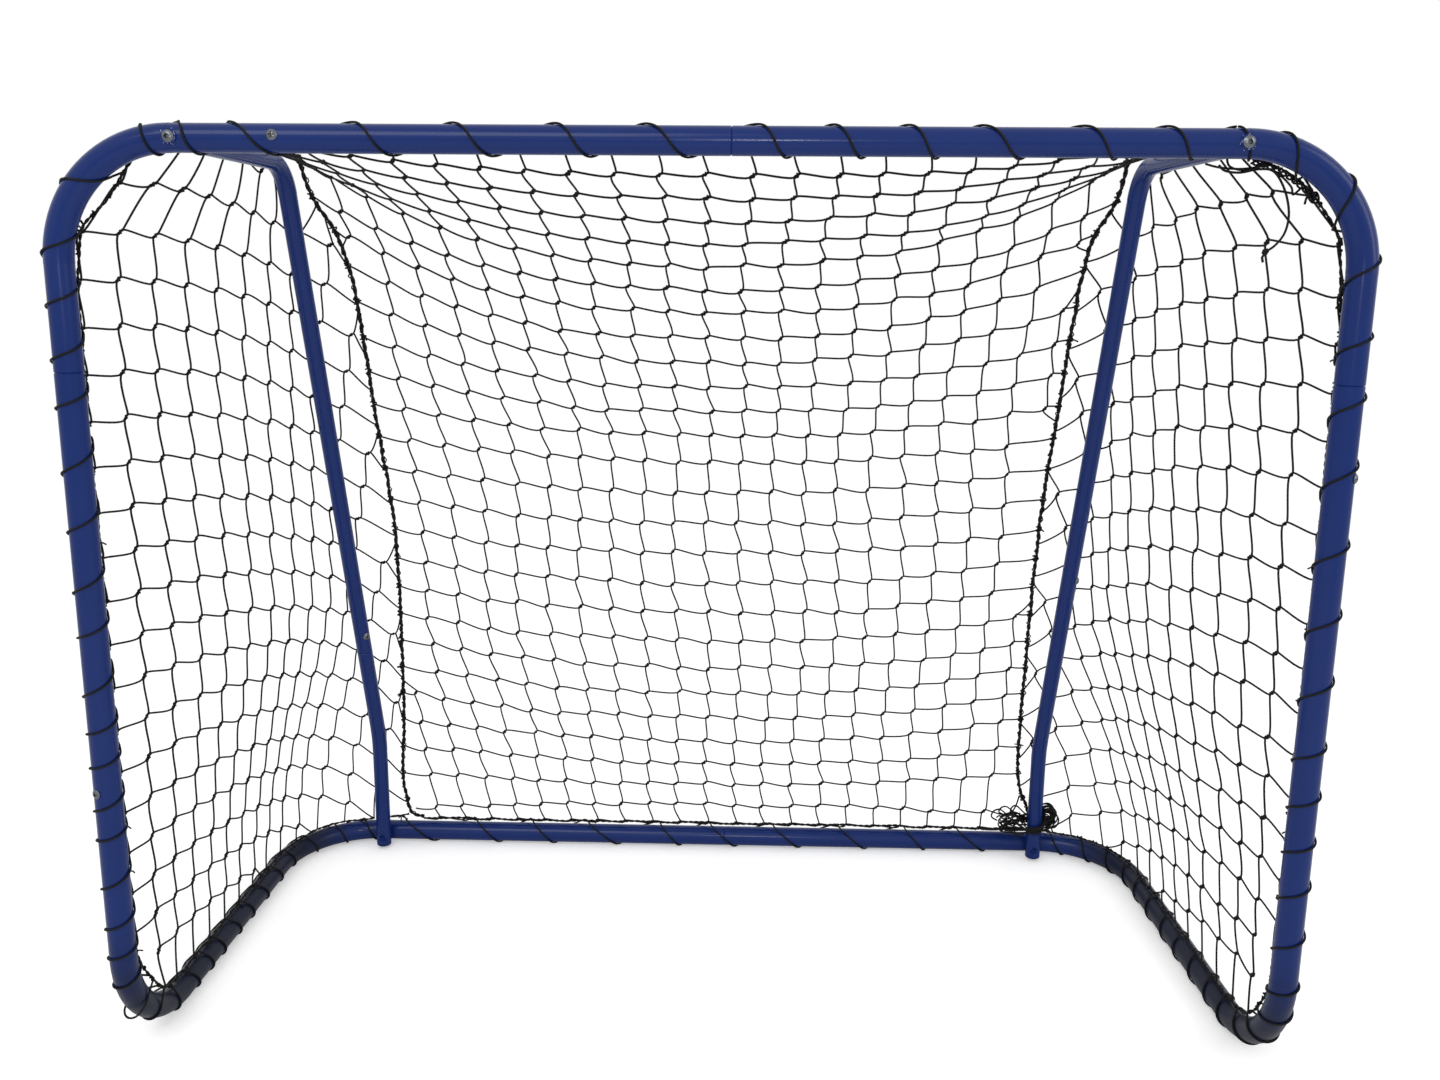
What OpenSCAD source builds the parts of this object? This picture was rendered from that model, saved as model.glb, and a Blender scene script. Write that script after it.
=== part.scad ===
// Small hockey goal: a knock-down frame of bent steel tube with a corded net laced round it.
// X runs along the crossbar, Y runs back from the goal mouth, Z is up.
// The origin is on the floor, at the middle of the frame's footprint.

/* [Frame] */
// Width of the goal over the outsides of the two uprights
goal_w = 1150; // [1000:10:1400]
// Height of the tube frame, from under the floor tubes to the top of the crossbar
goal_h = 900; // [800:10:1100]
// Depth of the goal over the outsides of the crossbar and the rear bar
goal_d = 500; // [460:10:600]
// Width over the floor tubes at the rear bar
rear_w = 1123; // [960:1:1380]
// Outside diameter of the frame tube
tube_d = 25; // [22:1:28]
// Wall of the frame tube
tube_wall = 1.2; // [1:0.1:2]
// Bend radius of the two top corners, at the tube's centre line
top_bend_r = 107; // [80:1:140]
// Bend radius where the uprights turn into the floor tubes
foot_bend_r = 103; // [80:1:120]
// Bend radius of the two rear corners
rear_bend_r = 105; // [80:1:120]

/* [Posts] */
// Outside diameter of the post tube
post_d = 19; // [16:1:22]
// Wall of the post tube
post_wall = 1.2; // [1:0.1:1.6]
// Distance of the posts' feet from the middle of the goal
post_x = 440; // [400:1:445]
// Distance of the arms from the middle, where they meet the crossbar
arm_x = 451.5; // [430:0.5:452]
// Distance of the elbows from the middle
elbow_x = 446.5; // [400:0.5:450]
// Depth from the front of the goal to the corner of the arm and the post
elbow_depth = 246; // [200:2:280]
// How far the arm drops from the crossbar's centre line to that corner
arm_drop = 2.5; // [0:0.5:20]
// Bend radius of the elbow between the arm and the post
elbow_r = 45; // [35:1:60]
// Height of the knee, where the slanted post turns straight down
knee_height = 155; // [120:5:180]
// Bend radius of the knee
knee_r = 110; // [60:5:160]
// Height of the joint in the left post
left_post_joint = 295; // [250:5:600]
// Height of the joint in the right post
right_post_joint = 388; // [250:5:600]

/* [Joints] */
// Length of the narrowed tube end that goes into the next tube
neck_l = 48; // [30:1:60]
// Distance of the joint in the crossbar from the middle of the goal
crossbar_joint = 24; // [0:1:60]
// Height of the joints in the uprights
upright_joint = 686; // [500:1:700]
// Depth from the front of the goal to the joints in the floor tubes
floor_joint = 236; // [200:1:260]
// Clearance all round a narrowed end in its tube
neck_gap = 0.15; // [0.1:0.05:0.4]
// Bevel at the end of a tube where a joint shows
rim = 0.8; // [0.4:0.1:0.9]

/* [Net and cords] */
// Bar of the net's mesh
mesh = 60; // [56:1:80]
// Thickness of the net's twine
twine = 2; // [1.5:0.1:3]
// Diameter of the lacing cord
cord_d = 2.5; // [2:0.1:3]
// Diameter of the ropes along the edges of the net
rope_d = 5; // [4:0.5:6]
// Turns of the lacing on the crossbar
crossbar_turns = 15; // [8:1:20]
// Turns of the lacing on each upright and its top corner
upright_turns = 19; // [10:1:22]
// Turns of the lacing on each floor tube and its two corners
floor_turns = 13; // [8:1:18]
// Turns of the lacing on the rear bar
rear_turns = 16; // [8:1:20]
// Turns of spare cord wound round the foot of the right post
spare_turns = 7; // [4:1:8]

/* [Hidden] */

frame_blue = "#2B3F7E";
zinc = "#C4C6C4";
cord_black = "#191919";

// Lacing: rings of a few sides, a few rings to each turn round a tube
turn_rings = 8;
cord_sides = 5;
lay_gap = 0.2;
half_step = 180 / turn_rings;
lacing_r = (tube_d / 2 + cord_d / 2 + lay_gap) / cos(half_step);
// The floor tubes lie on the turns of cord under them, which are pressed flat by a tenth
squash = cord_d / 10;
lift = (lacing_r + cord_d / 2) * cos(half_step) - tube_d / 2 - squash;

// Centre lines of the frame
x_side = (goal_w - tube_d) / 2;
x_rear = (rear_w - tube_d) / 2;
y_front = (tube_d - goal_d) / 2;
y_rear = -y_front;
y_face = -goal_d / 2;
z_base = lift + tube_d / 2;
z_top = lift + goal_h - tube_d / 2;
floor_run = unit([x_rear - x_side, y_rear - y_front, 0]);
top_corner = [x_side, y_front, z_top];
foot_corner = [x_side, y_front, z_base];
rear_corner = [x_rear, y_rear, z_base];
upright_end = [x_side, y_front, lift + upright_joint];
floor_end = foot_corner + floor_run * (floor_joint - tube_d / 2);

// Centre lines of the posts
arm_start = [arm_x, y_front, z_top];
elbow = [elbow_x, y_face + elbow_depth, z_top - arm_drop];
foot_y = y_rear - tube_d / 2 - post_d / 2;
knee = [post_x, foot_y, lift + knee_height];
foot_end = [post_x, foot_y, lift + 2];
post_run = unit(knee - elbow);
arm_run = unit(elbow - arm_start);

// At a bend the tube swells a little, and the straights run this far into it
bend_lap = 1;
bend_swell = 0.3;

// Fasteners
bolt_d = 6;
bolt_hole = 6.6;
head_d = 10.5;
head_h = 3.3;
key_d = 4.6;
key_depth = 2;
washer_d = 13;
washer_t = 1;
plug_l = 22;
saddle_gap = 0.1;
screw_d = 3.5;
screw_head_d = 9.5;
screw_head_h = 2.4;
screw_l = 12;
nut_d = 11.5;
nut_h = 5;
seat_play = 0.2;

// Net: lines that its ropes and panels follow, just clear of the lacing and the posts
top_line = [y_front + 15, z_top + 12.4];
ridge = [elbow.y + 12, elbow.z + 12];
rear_line = [y_rear - 2, z_base + 19.4];
rope_end_top = arm_x + 14;
rope_end_rear = post_x - 28;
rope_side = rope_d / 2 + 0.2;
beside_post = 13;
net_arm = [rope_end_top - 1, top_line[0] + rope_side, top_line[1]];
net_elbow = [elbow.x + beside_post, ridge[0], ridge[1]];
net_knee = [post_x + beside_post, knee.y + 14.5, knee.z + 1];
net_head = in_goal([[543.8, 24.5, 765]])[0];
net_foot = in_goal([[543.8, 24.5, 100]])[0];
net_floor = in_goal([[534, 368, 33]])[0];
net_rear = in_goal([[456, 482, 36]])[0];
// The back and the roof sag between the arms and the ropes: lines across the middle of the net
sag = in_goal([[230, 205, 762], [230, 368, 562], [230, 386, 338]]);
roof_arm = [arm_x - 1.5, net_arm.y, net_arm.z];
roof_elbow = [elbow_x - 1.5, ridge[0], ridge[1]];
back_foot = [405, rear_line[0], rear_line[1] + rope_side];
back_heel = [net_rear.x, back_foot.y, back_foot.z];

// From distance from the middle, depth from the front and height of the bare frame
function in_goal(route) = [for (p = route) [p.x, p.y + y_face, p.z + lift]];
function unit(v) = v / norm(v);
function swing(v, w, a) = v * cos(a) + cross(w, v) * sin(a) + w * (w * v) * (1 - cos(a));
function mirrored(points) = [for (p = points) [-p.x, p.y, p.z]];
function turn_at(a, b, c) = let (u = unit(b - a), v = unit(c - b)) atan2(norm(cross(u, v)), u * v);

// Point, direction and cross direction at distance s along a line with rounded corners
function place(line, radii, s, n, k = 0, from = undef) =
    let (
        a = from == undef ? line[0] : from,
        b = line[k + 1],
        t = unit(b - a),
        last = k == len(line) - 2,
        turn = last ? 0 : turn_at(a, b, line[k + 2]),
        run = norm(b - a) - (last ? 0 : radii[k] * tan(turn / 2))
    )
    s <= run || last ? [a + t * s, t, n] : let (
        w = unit(cross(t, line[k + 2] - b)),
        bend_from = a + t * run,
        middle = bend_from + cross(w, t) * radii[k],
        bend_l = radii[k] * turn * PI / 180,
        part = min(1, (s - run) / bend_l) * turn,
        at = middle + swing(bend_from - middle, w, part)
    )
    s - run < bend_l ? [at, swing(t, w, part), swing(n, w, part)]
        : place(line, radii, s - run - bend_l, swing(n, w, turn), k + 1, at);

function line_length(line, radii, k = 0, cut = 0) =
    let (
        last = k == len(line) - 2,
        turn = last ? 0 : turn_at(line[k], line[k + 1], line[k + 2]),
        next_cut = last ? 0 : radii[k] * tan(turn / 2),
        run = norm(line[k + 1] - line[k]) - cut - next_cut
    )
    last ? run : run + radii[k] * turn * PI / 180 + line_length(line, radii, k + 1, next_cut);

// Centres and outward directions of the rings of a cord wound round a tube
function wound(line, radii, turns, n, start, hand) =
    let (total = line_length(line, radii), steps = turns * turn_rings)
    [for (i = [0 : steps])
        let (
            f = place(line, radii, total * i / steps, n),
            a = start + hand * 2 * half_step * i,
            out = f[2] * cos(a) + cross(f[1], f[2]) * sin(a)
        )
        [f[0] + out * lacing_r, out]];

// A round cord through the ring centres: c has a centre and an outward direction for each ring,
// and lean picks the diagonal of the facets that follows the winding
module cord(c, d, sides, lean = 1) {
    count = len(c);
    rings = [for (i = [0 : count - 1])
        let (
            t = unit(c[min(i + 1, count - 1)][0] - c[max(i - 1, 0)][0]),
            b = unit(cross(t, c[i][1])),
            n = cross(b, t)
        )
        for (k = [0 : sides - 1])
            let (a = 360 * k / sides, p = c[i][0] + (n * cos(a) + b * sin(a)) * d / 2)
            [p.x, p.y, max(p.z, 0)]];
    ends = [[for (k = [0 : sides - 1]) k],
        [for (k = [sides - 1 : -1 : 0]) (count - 1) * sides + k]];
    quads = [for (i = [0 : count - 2], k = [0 : sides - 1])
        let (j = i * sides + k, m = i * sides + (k + 1) % sides)
        each lean > 0 ? [[j, j + sides, m], [m, j + sides, m + sides]]
            : [[j, j + sides, m + sides], [j, m + sides, m]]];
    polyhedron(rings, concat(ends, quads), convexity = 10);
}

// Least gap between a cord's turns, measured between ring centres more than half a turn apart
module print_gap(name, c, d, rings) {
    gap = min([for (i = [0 : len(c) - 1], j = [i + floor(rings / 2) + 1 : 1 : len(c) - 1])
        norm(c[i][0] - c[j][0])]) - d;
    echo(str(name, " least gap to itself, mm: ", gap));
}

// Outward directions for a cord that follows hand-set points
function laid(points) = [for (p = points) [p, [0, 0.02, 1]]];

// Smooth curve through hand-set points: Catmull-Rom, a few steps to each span
function smooth(p, steps) = [for (i = [0 : len(p) - 2], s = [0 : steps - 1 + (i == len(p) - 2 ? 1 : 0)])
    let (
        u = s / steps,
        a = p[max(i - 1, 0)],
        b = p[i],
        c = p[i + 1],
        d = p[min(i + 2, len(p) - 1)]
    )
    0.5 * (2 * b + (c - a) * u + (2 * a - 5 * b + 4 * c - d) * u * u
        + (3 * b - a - 3 * c + d) * u * u * u)];

// Puts its children in a frame: origin o, first axis u, second axis v
module in_frame(o, u, v) {
    w = cross(u, v);
    multmatrix([[u.x, v.x, w.x, o.x], [u.y, v.y, w.y, o.y], [u.z, v.z, w.z, o.z], [0, 0, 0, 1]])
        children();
}

// Puts its children's +Z along the line from a towards b
module along(a, b) {
    t = unit(b - a);
    side = unit(abs(t.z) > 0.9 ? cross([0, 1, 0], t) : cross([0, 0, 1], t));
    in_frame(a, side, cross(t, side)) children();
}

// Solid bar from a to c with one rounded corner at b. The straights run a little way into
// the bend, which is a hair thicker, so that the three make one clean solid.
module bent_bar(a, b, c, r, d) {
    u = unit(b - a);
    turn = turn_at(a, b, c);
    cut = r * tan(turn / 2);
    v = unit((c - b) - u * (u * (c - b)));
    in_frame(b, u, v) {
        translate([-norm(b - a), 0, 0]) rotate([0, 90, 0]) rotate([0, 0, -90])
            cylinder(d = d, h = norm(b - a) - cut + bend_lap, $fn = 48);
        translate([-cut, r, 0]) rotate([0, 0, -90]) rotate_extrude(angle = turn, $fn = 96)
            translate([r, 0]) circle(d = d + bend_swell, $fn = 48);
        rotate([0, 0, turn]) translate([cut - bend_lap, 0, 0]) rotate([0, 90, 0]) rotate([0, 0, -90])
            cylinder(d = d, h = norm(c - b) - cut + bend_lap, $fn = 48);
    }
}

// Bevel that a tube end shows at a joint: what it takes off the outside
module rim_cut(a, b, d) {
    along(a, b) difference() {
        translate([0, 0, -1]) cylinder(d = d + 6, h = rim + 2, $fn = 48);
        translate([0, 0, -2]) cylinder(d1 = d - 2 * rim - 4, d2 = d + 4, h = rim + 4, $fn = 48);
    }
}

// Bent tube from a to c, cut for the joint rims at both ends
module bent_tube(a, b, c, r, d, wall) {
    u = unit(b - a);
    w = unit(c - b);
    difference() {
        bent_bar(a, b, c, r, d);
        bent_bar(a - u, b, c + w, r, d - 2 * wall);
        rim_cut(a, b, d);
        rim_cut(c, b, d);
    }
}

// Narrowed end of a tube: from inside the joint at a, out along the line to b
module neck(a, b, d, wall) {
    bore = d - 2 * wall;
    neck_d = bore - 2 * neck_gap;
    shoulder = 6;
    along(a, b) difference() {
        union() {
            translate([0, 0, -shoulder]) cylinder(d = bore + tube_wall, h = shoulder, $fn = 48);
            cylinder(d = neck_d, h = neck_l, $fn = 48);
        }
        translate([0, 0, -shoulder - 1]) cylinder(d = neck_d - 2 * wall, h = neck_l + shoulder + 2, $fn = 48);
    }
}

// Hole for a bolt straight through a tube
module bolt_way(p, direction, d) {
    along(p - direction * 40, p) cylinder(d = d, h = 80, $fn = 32);
}

module crossbar_tube(joint_x, has_neck) {
    joint = [joint_x, y_front, z_top];
    color(frame_blue) difference() {
        union() {
            bent_tube(joint, top_corner, upright_end, top_bend_r, tube_d, tube_wall);
            if (has_neck) neck(joint, joint - [1, 0, 0], tube_d, tube_wall);
        }
        bolt_way(arm_start, arm_run, bolt_hole);
    }
}

module side_tube() {
    color(frame_blue) {
        bent_tube(upright_end, foot_corner, floor_end, foot_bend_r, tube_d, tube_wall);
        neck(upright_end, upright_end + [0, 0, 1], tube_d, tube_wall);
    }
}

module rear_tube(joint_x, has_neck) {
    joint = [joint_x, y_rear, z_base];
    color(frame_blue) difference() {
        union() {
            bent_tube(floor_end, rear_corner, joint, rear_bend_r, tube_d, tube_wall);
            neck(floor_end, floor_end - floor_run, tube_d, tube_wall);
            if (has_neck) neck(joint, joint - [1, 0, 0], tube_d, tube_wall);
        }
        bolt_way([post_x, y_rear, z_base], [0, 1, 0], bolt_hole);
    }
}

function post_at(z) = elbow + post_run * (z - elbow.z) / post_run.z;

module post_upper(joint_z) {
    color(frame_blue) difference() {
        bent_tube(arm_start, elbow, post_at(joint_z), elbow_r, post_d, post_wall);
        translate([arm_x, y_front, z_top]) rotate([0, 90, 0])
            cylinder(d = tube_d + 2 * saddle_gap, h = 100, center = true, $fn = 64);
    }
}

module post_lower(joint_z) {
    top = post_at(joint_z);
    color(frame_blue) difference() {
        union() {
            bent_tube(top, knee, foot_end, knee_r, post_d, post_wall);
            neck(top, top - post_run, post_d, post_wall);
        }
        translate([post_x, y_rear, z_base]) rotate([0, 90, 0])
            cylinder(d = tube_d + 2 * saddle_gap, h = 100, center = true, $fn = 64);
        bolt_way([post_x, y_rear, z_base], [0, 1, 0], bolt_hole);
    }
}

// Button-head bolt with a hexagon socket: head up, shank down from z = 0
module button_bolt(length) {
    difference() {
        union() {
            rotate_extrude($fn = 48) intersection() {
                square([head_d / 2, head_h]);
                translate([0, head_h - head_d * 0.75]) circle(d = head_d * 1.5, $fn = 96);
            }
            translate([0, 0, -length]) cylinder(d = bolt_d, h = length + 0.1, $fn = 32);
        }
        translate([0, 0, head_h - key_depth]) cylinder(d = key_d, h = key_depth + 1, $fn = 6);
    }
}

module washer() {
    difference() {
        cylinder(d = washer_d, h = washer_t, $fn = 48);
        translate([0, 0, -1]) cylinder(d = bolt_d + 2 * seat_play, h = washer_t + 2, $fn = 32);
    }
}

// Hexagon nut with its face on z = 0
module nut() {
    difference() {
        cylinder(d = nut_d, h = nut_h, $fn = 6);
        translate([0, 0, -1]) cylinder(d = bolt_d + seat_play, h = nut_h + 2, $fn = 32);
    }
}

// The same thing on the left and on the right
module both_sides() {
    for (s = [0, 1]) mirror([s, 0, 0]) children();
}

// Place of a bolt's head on the front of the crossbar, facing out along the arm
module at_arm_bolt() {
    p = arm_start - arm_run * tube_d / 2;
    along(p, p - arm_run) children();
}

module arm_bolts() {
    color(zinc) both_sides() at_arm_bolt()
        translate([0, 0, washer_t]) button_bolt(tube_d + plug_l + bolt_d);
}

module arm_washers() {
    color(zinc) both_sides() at_arm_bolt() washer();
}

module arm_plugs() {
    plug_from = arm_start + arm_run * (tube_d / 2 + 4);
    color(zinc) both_sides() along(plug_from, elbow) difference() {
        cylinder(d = post_d - 2 * post_wall - seat_play, h = plug_l, $fn = 48);
        translate([0, 0, -1]) cylinder(d = bolt_d + seat_play, h = plug_l + 2, $fn = 32);
    }
}

// Place of a foot bolt's head on the back of the rear bar
module at_foot_bolt() {
    translate([post_x, y_rear + tube_d / 2, z_base]) rotate([-90, 0, 0]) children();
}

module foot_bolts() {
    color(zinc) both_sides() at_foot_bolt()
        translate([0, 0, washer_t]) button_bolt(tube_d + post_d + nut_h + 3);
}

module foot_washers() {
    color(zinc) both_sides() at_foot_bolt() washer();
}

module foot_nuts() {
    color(zinc) both_sides() translate([post_x, foot_y - post_d / 2, z_base]) rotate([90, 0, 0]) nut();
}

// Pan-head screw with a cross recess: head up from z = 0, tapping thread below
module pan_screw() {
    difference() {
        union() {
            rotate_extrude($fn = 48) intersection() {
                square([screw_head_d / 2, screw_head_h]);
                translate([0, screw_head_h - screw_head_d * 0.7]) circle(d = screw_head_d * 1.4, $fn = 96);
            }
            translate([0, 0, -screw_l + 3]) cylinder(d = screw_d, h = screw_l - 2.9, $fn = 32);
            translate([0, 0, -screw_l]) cylinder(d1 = 0.6, d2 = screw_d, h = 3.01, $fn = 32);
        }
        for (a = [0, 90]) rotate([0, 0, a])
            translate([-2.4, -0.5, screw_head_h - 1.4]) cube([4.8, 1, 3]);
    }
}

// A screw on a tube: p is on the tube's centre line, out points to the screw's side
module screw_at(p, out, d) {
    seat = p + unit(out) * (d / 2 - 0.05);
    along(seat, seat + out) pan_screw();
}

module frame_screws() {
    color(zinc) {
        screw_at([-364, y_front, z_top], [0, -1, 0.15], tube_d);
        screw_at([-x_side, y_front, lift + 289], [-0.45, -1, 0], tube_d);
        screw_at([x_side, y_front, lift + 605], [1, -0.75, 0], tube_d);
        for (s = [-1, 1]) {
            p = floor_end - floor_run * neck_l / 2;
            screw_at([s * p.x, p.y, p.z], [s, -0.1, 0.35], tube_d);
        }
    }
}

module post_screws() {
    color(zinc) {
        left = post_at(left_post_joint + neck_l / 2);
        right = post_at(right_post_joint + neck_l / 2);
        screw_at([-left.x, left.y, left.z], [0.8, -0.6, -0.18], post_d);
        screw_at(right, [0.8, -0.6, -0.18], post_d);
    }
}

// Signed area to the left of a line, and the part of a polygon on that side
function side_of(a, b, p) = (b.x - a.x) * (p.y - a.y) - (b.y - a.y) * (p.x - a.x);
function clipped(poly, a, b) = [for (i = [0 : 1 : len(poly) - 1])
    let (p = poly[i], q = poly[(i + 1) % len(poly)], sp = side_of(a, b, p), sq = side_of(a, b, q))
    each concat(sp >= 0 ? [p] : [], sp * sq < 0 ? [p + (q - p) * sp / (sp - sq)] : [])];
function clip_all(poly, edges, k = 0) =
    k == len(edges) ? poly : clip_all(clipped(poly, edges[k][0], edges[k][1]), edges, k + 1);
function area(poly) = len(poly) < 3 ? 0 : abs(0.5 * sum_of([for (i = [0 : len(poly) - 1])
    side_of([0, 0], poly[i], poly[(i + 1) % len(poly)])]));
function sum_of(v, i = 0) = i >= len(v) ? 0 : v[i] + sum_of(v, i + 1);

// Flat knotted net inside the corners, anticlockwise in the plane of o, u and v. Its outline is
// drawn in a little on each side, so that two panels that share an edge don't overlap.
module flat_net(o, u, v, corners) {
    count = len(corners);
    drawn_in = 0.6;
    raw = [for (p = corners) [(p - o) * u, (p - o) * v]];
    flat = [for (i = [0 : count - 1])
        let (
            before = unit(raw[i] - raw[(i + count - 1) % count]),
            after = unit(raw[(i + 1) % count] - raw[i]),
            sum = [-before.y - after.y, before.x + after.x]
        )
        raw[i] + sum * drawn_in / (1 + before * after)];
    border = rope_d / 2;
    edges = [for (i = [0 : count - 1])
        let (a = flat[i], b = flat[(i + 1) % count], t = unit(b - a), in = [-t.y, t.x] * border)
        [a + in, b + in]];
    x0 = min([for (p = flat) p.x]);
    x1 = max([for (p = flat) p.x]);
    y0 = min([for (p = flat) p.y]);
    y1 = max([for (p = flat) p.y]);
    columns = ceil((x1 - x0) / mesh);
    rows = ceil((y1 - y0) / mesh);
    cell = [(x1 - x0) / columns, (y1 - y0) / rows];
    holes = [for (i = [0 : columns - 1], j = [0 : rows - 1])
        let (
            low = [x0 + i * cell.x + twine / 2, y0 + j * cell.y + twine / 2],
            high = [x0 + (i + 1) * cell.x - twine / 2, y0 + (j + 1) * cell.y - twine / 2],
            gap = clip_all([low, [high.x, low.y], high, [low.x, high.y]], edges)
        )
        if (area(gap) > mesh * mesh / 12) gap];
    starts = [for (i = 0, s = count; i < len(holes); s = s + len(holes[i]), i = i + 1) s];
    points = concat(flat, [for (h = holes) each h]);
    paths = concat([[for (i = [0 : count - 1]) i]],
        [for (i = [0 : 1 : len(holes) - 1]) [for (k = [0 : len(holes[i]) - 1]) starts[i] + k]]);
    color(cord_black) in_frame(o, u, v) translate([0, 0, -twine / 2])
        linear_extrude(twine) polygon(points, paths, convexity = 20);
}

// Flat net through three corners; its rows lie level
module level_net(a, b, c) {
    normal = unit(cross(b - a, c - a));
    level = unit(cross([0, 0, 1], normal));
    flat_net(a, level, cross(normal, level), [a, b, c]);
}

// Flat net across the goal, from the line through low up to the line through high
module net_band(low, high) {
    flat_net(low, [1, 0, 0], unit([0, high.y - low.y, high.z - low.z]),
        concat(mirrored([low]), [low, high], mirrored([high])));
}

module net_roof() {
    net_band(roof_arm, sag[0]);
}

module net_back_high() {
    net_band(sag[1], sag[0]);
}

module net_back() {
    net_band(sag[2], sag[1]);
}

module net_back_low() {
    net_band(back_foot, sag[2]);
}

// Wings of the roof and the back, out to the arm, the elbow, the knee and the foot of the post
module net_roof_wing() {
    level_net(roof_arm, roof_elbow, sag[0]);
}

module net_back_wing_a() {
    level_net(roof_elbow, sag[1], sag[0]);
}

module net_back_wing_b() {
    level_net(roof_elbow, net_knee, sag[1]);
}

module net_back_wing_c() {
    level_net(net_knee, sag[2], sag[1]);
}

module net_back_wing_d() {
    level_net(net_knee, back_foot, sag[2]);
}

module net_back_wing_e() {
    level_net(net_knee, back_heel, back_foot);
}

module net_top() {
    level_net(net_head, net_arm, net_elbow);
}

module net_front() {
    level_net(net_foot, net_head, net_elbow);
}

module net_side() {
    level_net(net_foot, net_elbow, net_floor);
}

module net_corner() {
    level_net(net_floor, net_elbow, net_knee);
}

module net_heel() {
    level_net(net_floor, net_knee, net_rear);
}

// Ropes, on round numbers from the bare frame: distance from the middle, depth, height
corner_route = [
    [430, 250, 870], [424, 262, 850], [410, 276, 812], [402, 295, 750], [396, 337, 610],
    [390, 384, 450], [406, 449, 222], [422, 470, 90], [424, 474, 66]
];
corner_foot = [424, 479, 36];
edge_route = [
    [467, 30, 898], [475, 33, 882], [488, 32, 864], [506, 29, 848], [524, 26, 828], [538, 23, 800],
    [545, 22, 765], [545, 22, 440], [545, 22, 130], [545, 26, 85], [545, 50, 50], [544, 95, 29],
    [542, 220, 29], [537, 370, 29], [533, 415, 30], [510, 452, 30], [478, 472, 31], [462, 476, 32],
    [456, 477, 32]
];
tail_route = [
    [436, 17, 870], [444, 23, 865], [458, 26, 861], [474, 28, 860], [488, 28, 857], [497, 27, 846],
    [501, 26, 828], [499, 25, 812], [492, 25, 802], [482, 25, 797]
];

module rope(route) {
    color(cord_black) cord(laid(smooth(in_goal(route), 2)), rope_d, 6);
}

module corner_rope_left() {
    rope(mirrored(concat(corner_route, [corner_foot])));
}

module corner_rope_right() {
    rope(corner_route);
}

module edge_rope_left() {
    rope(mirrored(edge_route));
}

module edge_rope_right() {
    rope(edge_route);
}

module edge_rope_top() {
    color(cord_black) translate([-rope_end_top, top_line[0], top_line[1]]) rotate([0, 90, 0])
        cylinder(d = rope_d, h = 2 * rope_end_top, $fn = 16);
}

module edge_rope_rear() {
    color(cord_black) translate([-rope_end_rear, rear_line[0], rear_line[1]]) rotate([0, 90, 0])
        cylinder(d = rope_d, h = 2 * rope_end_rear, $fn = 16);
}

// The first and last turns of each lacing stop short of the arms and the posts
module lacing(name, line, radii, turns, n, hand, flipped = false) {
    c = wound(line, radii, turns, n, half_step, hand);
    color(cord_black) mirror([flipped ? 1 : 0, 0, 0]) cord(c, cord_d, cord_sides, hand);
    print_gap(name, c, cord_d, turn_rings);
}

module lacing_crossbar() {
    lacing("lacing_crossbar", [[12 - arm_x, y_front, z_top], [arm_x - 12, y_front, z_top]], [],
        crossbar_turns, [0, 0, 1], 1);
}

module lacing_upright(name, hand, flipped) {
    lacing(name, [[arm_x + 12.5, y_front, z_top], top_corner, foot_corner + [0, 0, foot_bend_r + 8]],
        [top_bend_r], upright_turns, [0, 0, 1], hand, flipped);
}

module lacing_upright_left() {
    lacing_upright("lacing_upright_left", -1, true);
}

module lacing_upright_right() {
    lacing_upright("lacing_upright_right", 1, false);
}

module lacing_floor(name, hand, flipped) {
    lacing(name, [foot_corner + [0, 0, foot_bend_r + 1], foot_corner, rear_corner,
        [post_x + 14, y_rear, z_base]], [foot_bend_r, rear_bend_r],
        floor_turns, [1, 0, 0], hand, flipped);
}

module lacing_floor_left() {
    lacing_floor("lacing_floor_left", -1, true);
}

module lacing_floor_right() {
    lacing_floor("lacing_floor_right", 1, false);
}

module lacing_rear() {
    lacing("lacing_rear", [[14 - post_x, y_rear, z_base], [post_x - 14, y_rear, z_base]], [],
        rear_turns, [0, 0, 1], 1);
}

// Spare cord wound loosely round the foot of the right post
module spare_cord() {
    rings = 16;
    wide = 34;
    deep = 14.5;
    rise = cord_d + 0.7;
    narrowing = 0.03;
    middle = [post_x - 13, foot_y, z_base + 24];
    c = [for (i = [0 : spare_turns * rings])
        let (turn = i / rings, out = [cos(360 * turn), sin(360 * turn), 0])
        [middle + [wide * (1 - narrowing * turn) * out.x, deep * out.y, rise * turn], out]];
    color(cord_black) cord(c, cord_d, 6);
    print_gap("spare_cord", c, cord_d, rings);
}

module lacing_tail() {
    color(cord_black) cord(laid(smooth(in_goal(tail_route), 3)), cord_d, 8);
}

module left() {
    mirror([1, 0, 0]) children();
}

left() crossbar_tube(-crossbar_joint, false);  // crossbar_tube_left
crossbar_tube(crossbar_joint, true);  // crossbar_tube_right
left() side_tube();  // side_tube_left
side_tube();  // side_tube_right
left() rear_tube(-crossbar_joint, false);  // rear_tube_left
rear_tube(crossbar_joint, true);  // rear_tube_right
left() post_upper(left_post_joint);  // post_upper_left
post_upper(right_post_joint);  // post_upper_right
left() post_lower(left_post_joint);  // post_lower_left
post_lower(right_post_joint);  // post_lower_right
arm_bolts();
arm_washers();
arm_plugs();
foot_bolts();
foot_washers();
foot_nuts();
frame_screws();
post_screws();
net_roof();
net_back_high();
net_back();
net_back_low();
left() net_roof_wing();  // net_left_roof
left() net_back_wing_a();  // net_left_back_a
left() net_back_wing_b();  // net_left_back_b
left() net_back_wing_c();  // net_left_back_c
left() net_back_wing_d();  // net_left_back_d
left() net_back_wing_e();  // net_left_back_e
net_roof_wing();  // net_right_roof
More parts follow.
